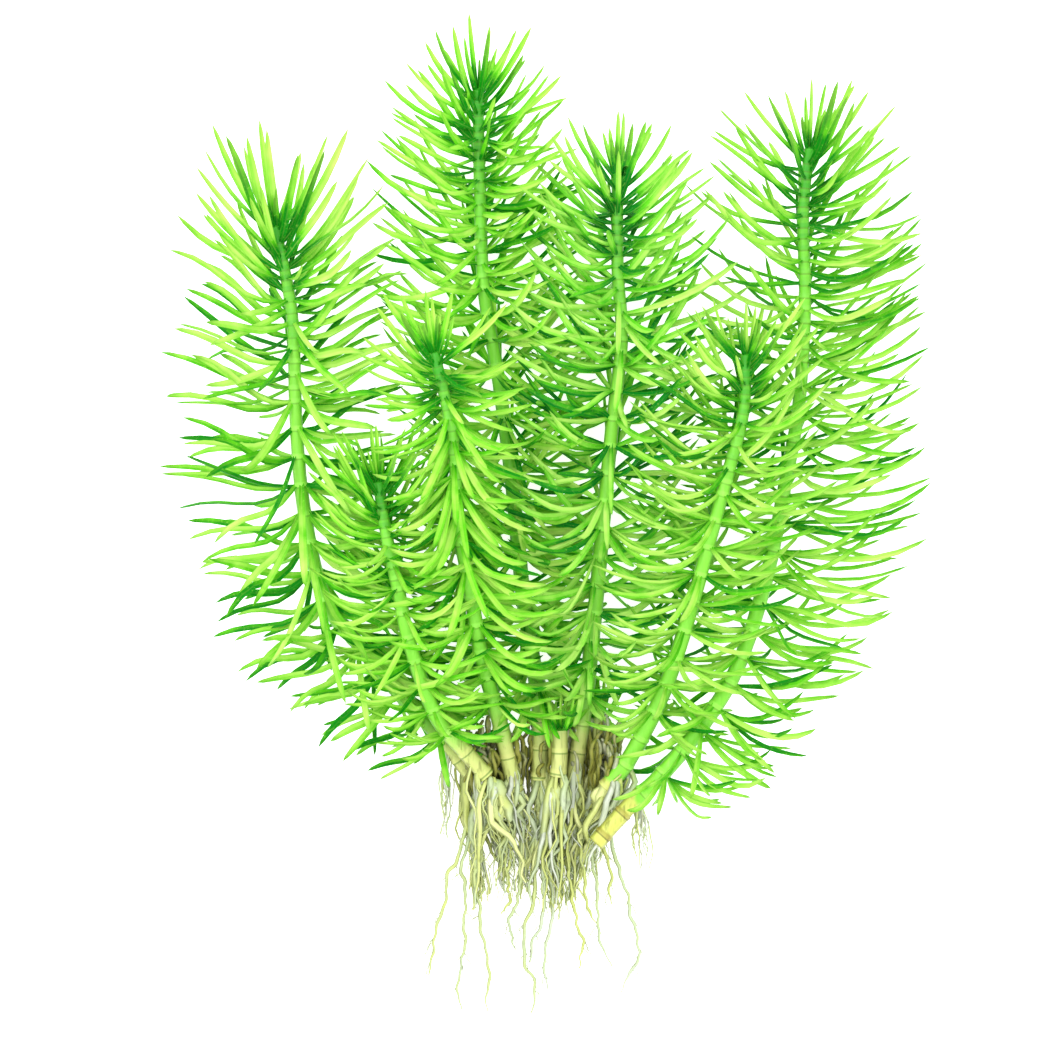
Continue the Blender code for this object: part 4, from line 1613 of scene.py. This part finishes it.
    def strand_sweep(
        self, routes: list[Route], kind: StrandKind, rng: np.random.Generator
    ) -> Valued:
        """Wavy strands of one kind, from the lowest lengths of the stems down.

        A strand's place is start + (end - start) * (3t^2 - 2t^3) across and evenly down, with a
        puff outward of puff * (1 - exp(-t / 0.1)) * (1 - t), and sway. It ends in the nearest
        bunch, or below its start where the kind hangs free. Its radius is widest at a third of its
        length and narrows by 1 - 0.66 t^1.6.

        Args:
            routes: routes of the stems that bear the roots.
            kind: the kind of strand.
            rng: source of the chance.

        Returns:
            The sweep and its point values.
        """
        count = kind.count
        t = np.linspace(0, 1, 14)
        stems = rng.integers(0, len(routes), count)
        above = rng.triangular(*kind.above, count)
        from_end = [(routes[k], max(a, 0)) for k, a in zip(stems, above)]
        starts = np.array([route.point(route.length - up) for route, up in from_end])
        starts[:, 1] -= np.maximum(-above, 0) * 4
        turn = rng.uniform(0, math.tau, count)
        starts[:, 0] += self.off_axis * np.cos(turn)
        starts[:, 2] += self.off_axis * np.sin(turn)
        if kind.lengths is None:
            ends = np.array(self.bunches)
            near = np.abs(starts[:, 0, None] * 0.85 + rng.normal(0, 3.0, (count, 1)) - ends[:, 0])
            bunch = ends[np.argmin(near, axis=1)]
            x1 = bunch[:, 0] + rng.normal(0, 1.3, count)
            y1 = bunch[:, 1] + rng.triangular(-2.0, 2.0, 18.0, count)
        else:
            shift = rng.uniform(-1, 1, count) * kind.spread
            starts[:, 0] = np.clip(starts[:, 0], *self.sides) + shift
            behind = starts[:, 2] - rng.uniform(1.0, 4.0, count)
            starts[:, 2] = np.maximum(behind, self.strand_lie)
            x1 = starts[:, 0] + rng.normal(0, 1.2, count)
            y1 = starts[:, 1] - rng.uniform(*kind.lengths, count)
        z1 = np.maximum(starts[:, 2] * rng.uniform(0.1, 0.6, count), self.lie)
        ease = t * t * (3 - 2 * t)
        puff = rng.uniform(0.6, 2.6, (count, 1)) * (1 - np.exp(-t / 0.1)) * (1 - t)
        x = starts[:, 0, None] + (x1 - starts[:, 0])[:, None] * ease + puff * np.cos(turn)[:, None]
        z = starts[:, 2, None] + (z1 - starts[:, 2])[:, None] * ease + puff * np.sin(turn)[:, None]
        y = starts[:, 1, None] + (y1 - starts[:, 1])[:, None] * t
        reach = rng.uniform(0.5, 1.5, (count, 1)) * kind.sway
        x = x + sway(t, count, reach, rng)
        z = np.maximum(z + sway(t, count, 0.5 * reach, rng), self.strand_lie)
        lines = np.stack([x, y, z], axis=-1)
        thick = 0.85 + 0.3 * np.sin(math.pi * np.minimum(t * 1.6, 1))
        radii = rng.triangular(*kind.radii, (count, 1)) * thick * (1.0 - 0.66 * t**1.6)
        sweep = tubes(lines, radii, 6)
        return sweep, root_values(sweep, rng.uniform(*kind.tints, count), self.depth)

    def trail_lines(self, rng: np.random.Generator) -> Array:
        """Lines of the trailing roots: a smooth line through the points, with small sway added."""
        t = np.linspace(0, 1, 64)
        lines = []
        for points in self.trails:
            heights = np.linspace(self.start_height, self.lie, len(points) + 1)[1:]
            start = (points[0][0] * 0.85, points[0][1] + 14, self.start_height)
            route = Route([start, *((x, y, z) for (x, y), z in zip(points, heights))])
            lines.append(route.point(t * route.length))
        made = np.array(lines)
        made[..., 0] += sway(t * 4, len(made), 0.28, rng) * smooth_steps(t, 0.1, 0.4)
        return made

    def trail_sweep(self, lines: Array, rng: np.random.Generator) -> Valued:
        """The trailing roots: radius 0.52 - 0.2 t, with slow swellings and a thin last tenth."""
        count, stations = lines.shape[:2]
        t = np.linspace(0, 1, stations)
        swell = 1 + 0.12 * np.sin(t * 23 + rng.uniform(0, math.tau, (count, 1)))
        thick, lost = self.trail_radii
        radii = (thick - lost * t) * (1 - 0.5 * smooth_steps(t, 0.85, 1.0)) * swell
        radii = radii * rng.uniform(0.85, 1.25, (count, 1))
        lines[..., 2] = np.maximum(lines[..., 2], radii + 0.06)
        sweep = tubes(lines, radii, 6)
        return sweep, root_values(sweep, rng.uniform(0.2, 0.6, count))

    def hair_sweep(self, lines: Array, rng: np.random.Generator) -> Valued:
        """Fine hairs that leave the trailing roots sideways by side * sqrt(t), and hang down."""
        count = self.hairs
        pick = rng.integers(0, len(lines), count)
        at = rng.integers(8, lines.shape[1] - 4, count)
        starts = lines[pick, at]
        t = np.linspace(0, 1, 7)
        side = rng.choice([-1.0, 1.0], count) * rng.uniform(*self.hair_reach, count)
        drop = rng.uniform(*self.hair_drop, count)
        x = starts[:, 0, None] + side[:, None] * np.sqrt(t) + sway(t, count, 0.3, rng)
        y = np.maximum(starts[:, 1, None] - drop[:, None] * t, self.lowest)
        z = starts[:, 2, None] + (0.3 - starts[:, 2, None]) * t
        made = np.stack([x, y, np.maximum(z, 0.25)], axis=-1)
        radii = self.hair_radius * (1 - 0.6 * t) * rng.uniform(0.7, 1.2, (count, 1))
        sweep = tubes(made, radii, 4)
        return sweep, root_values(sweep, rng.uniform(0.4, 0.9, count))

    def build(self, routes: list[Route], material: bpy.types.Material) -> list[bpy.types.Object]:
        """Makes the four pieces: heels, strands, trailing roots and their hairs."""
        rng = np.random.default_rng(Seed.ROOTS.value)
        lines = self.trail_lines(rng)
        parts = {
            RootKind.HEEL: [self.heel_sweep(routes, rng)],
            RootKind.STRAND: [self.strand_sweep(routes, kind, rng) for kind in self.strands],
            RootKind.TRAIL: [self.trail_sweep(lines, rng)],
            RootKind.HAIR: [self.hair_sweep(lines, rng)],
        }
        pieces = []
        for kind, sweeps in parts.items():
            skin = Skin()
            for part in sweeps:
                skin.add(*part)
            pieces.append(skin.piece(f"root_{kind.value}s", material))
        return pieces


@dataclass
class RootTuft:
    """A tuft of fine roots that hangs from a low node of a shoot.

    Args:
        name: name of the tuft.
        node: the shoot's node.
        start: where it leaves the stem.
        end: middle of its lower end.
        spread: reach of the ends to each side.
        count: number of roots.
    """

    name: str
    node: str
    start: Point
    end: Point
    spread: float = 3.0
    count: int = 16

    def build(self, material: bpy.types.Material, seed: int) -> bpy.types.Object:
        """Roots from near the start, fanning out by 1 - exp(-3t) with sway, to uneven ends."""
        rng = np.random.default_rng(seed)
        t = np.linspace(0, 1, 12)
        count = self.count
        starts = np.array(self.start) + rng.normal(0, 0.7, (count, 3))
        ends = np.array(self.end) + rng.uniform(-1, 1, (count, 3)) * (self.spread, 1.0, 1.0)
        ends = starts + (ends - starts) * rng.uniform(0.35, 1.0, (count, 1))
        fan = (1 - np.exp(-3 * t)) / (1 - math.exp(-3))
        share = np.stack([fan, t, t], axis=-1)
        lines = starts[:, None] + (ends - starts)[:, None] * share
        lines[..., 0] += sway(t, count, 0.5, rng)
        lines[..., 2] = np.maximum(lines[..., 2], 0.5)
        radii = rng.uniform(0.2, 0.42, (count, 1)) * (1 - 0.6 * t)
        sweep = tubes(lines, radii, 5)
        skin = Skin()
        skin.add(sweep, root_values(sweep, rng.uniform(0.2, 0.85, count)))
        return skin.piece(self.name, material)


def clump_tufts() -> list[RootTuft]:
    """The two tufts at the sides of the tangle."""
    return [
        RootTuft("left_root_tuft", "left_shoot", (-25.0, -59.0, 8.0), (-26.5, -82.0, 1.2), 2.6),
        RootTuft("right_root_tuft", "right_shoot", (22.5, -70.0, 17.5), (25.0, -96.0, 2.0), 3.2),
    ]


# Studio


@dataclass
class Studio:
    """A pale sheet, soft light from all round, a broad soft lamp, and the camera straight above.

    Args:
        sheet: side of the sheet in metres.
        sky: strength of the light from all round.
        lamp: strength of the broad lamp.
        lamp_width: how wide the lamp looks from the plant, in degrees.
        lamp_turn: turn of the lamp round X and Y, in degrees.
        camera: place of the camera in metres.
        lens: focal length in millimetres.
        sensor: width of the sensor in millimetres.
    """

    sheet: float = 6.0
    sky: float = 1.45
    lamp: float = 1.35
    lamp_width: float = 60.0
    lamp_turn: Pair = (-18.0, -22.0)
    camera: Point = (-0.0069, -0.00025, 1.318)
    lens: float = 180.0
    sensor: float = 36.0

    def build(self) -> None:
        """Makes the sheet, the lights and the camera."""
        scene = bpy.context.scene
        scene.view_settings.view_transform = "Standard"
        half = self.sheet / 2
        corners = [(-half, -half, 0), (half, -half, 0), (half, half, 0), (-half, half, 0)]
        mesh = bpy.data.meshes.new("sheet")
        mesh.from_pydata(corners, [], [(0, 1, 2, 3)])
        mesh.materials.append(FloorFinish().build())
        sheet = bpy.data.objects.new("sheet", mesh)
        scene.collection.objects.link(sheet)

        world = bpy.data.worlds.new("soft_light")
        world.use_nodes = True
        inputs = world.node_tree.nodes["Background"].inputs
        inputs["Color"].default_value = (1, 1, 1, 1)
        inputs["Strength"].default_value = self.sky
        scene.world = world

        lamp = bpy.data.lights.new("broad_lamp", "SUN")
        lamp.energy = self.lamp
        lamp.angle = math.radians(self.lamp_width)
        lit = bpy.data.objects.new("broad_lamp", lamp)
        lit.rotation_euler = (*map(math.radians, self.lamp_turn), 0)
        scene.collection.objects.link(lit)

        view = bpy.data.cameras.new("camera")
        view.lens = self.lens
        view.sensor_width = self.sensor
        camera = bpy.data.objects.new("camera", view)
        camera.location = self.camera
        scene.collection.objects.link(camera)
        scene.camera = camera


def main() -> None:
    """Loads the frame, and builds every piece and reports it."""
    logging.basicConfig(level=logging.INFO, format="%(message)s")
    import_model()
    Studio().build()

    habit = LeafHabit()
    shoots = clump_shoots()
    short_stems = clump_short_stems()
    leaves = Planting(shoots, short_stems, habit).leaves()
    made: list[tuple[bpy.types.Object, str, str]] = []
    for index, shoot in enumerate([*shoots, *short_stems]):
        pieces = shoot.build(leaves[shoot.name], habit, Seed.BLADES + index)
        made += [(piece, shoot.name, shoot.slot) for piece in pieces]
    roots = RootTangle()
    root_material = RootFinish("fine_roots").build()
    routes = [shoot.route for shoot in [*shoots, *short_stems] if shoot.name != "right_shoot"]
    made += [(piece, roots.name, roots.name) for piece in roots.build(routes, root_material)]
    for index, tuft in enumerate(clump_tufts()):
        made.append((tuft.build(root_material, Seed.TUFTS + index), tuft.node, tuft.node))

    for piece, node, slot in made:
        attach(piece, "root")
        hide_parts(node)
        triangles = sum(len(face.vertices) - 2 for face in piece.data.polygons)
        log.info("%s: %d triangles", piece.name, triangles)


if __name__ == "__main__":
    main()
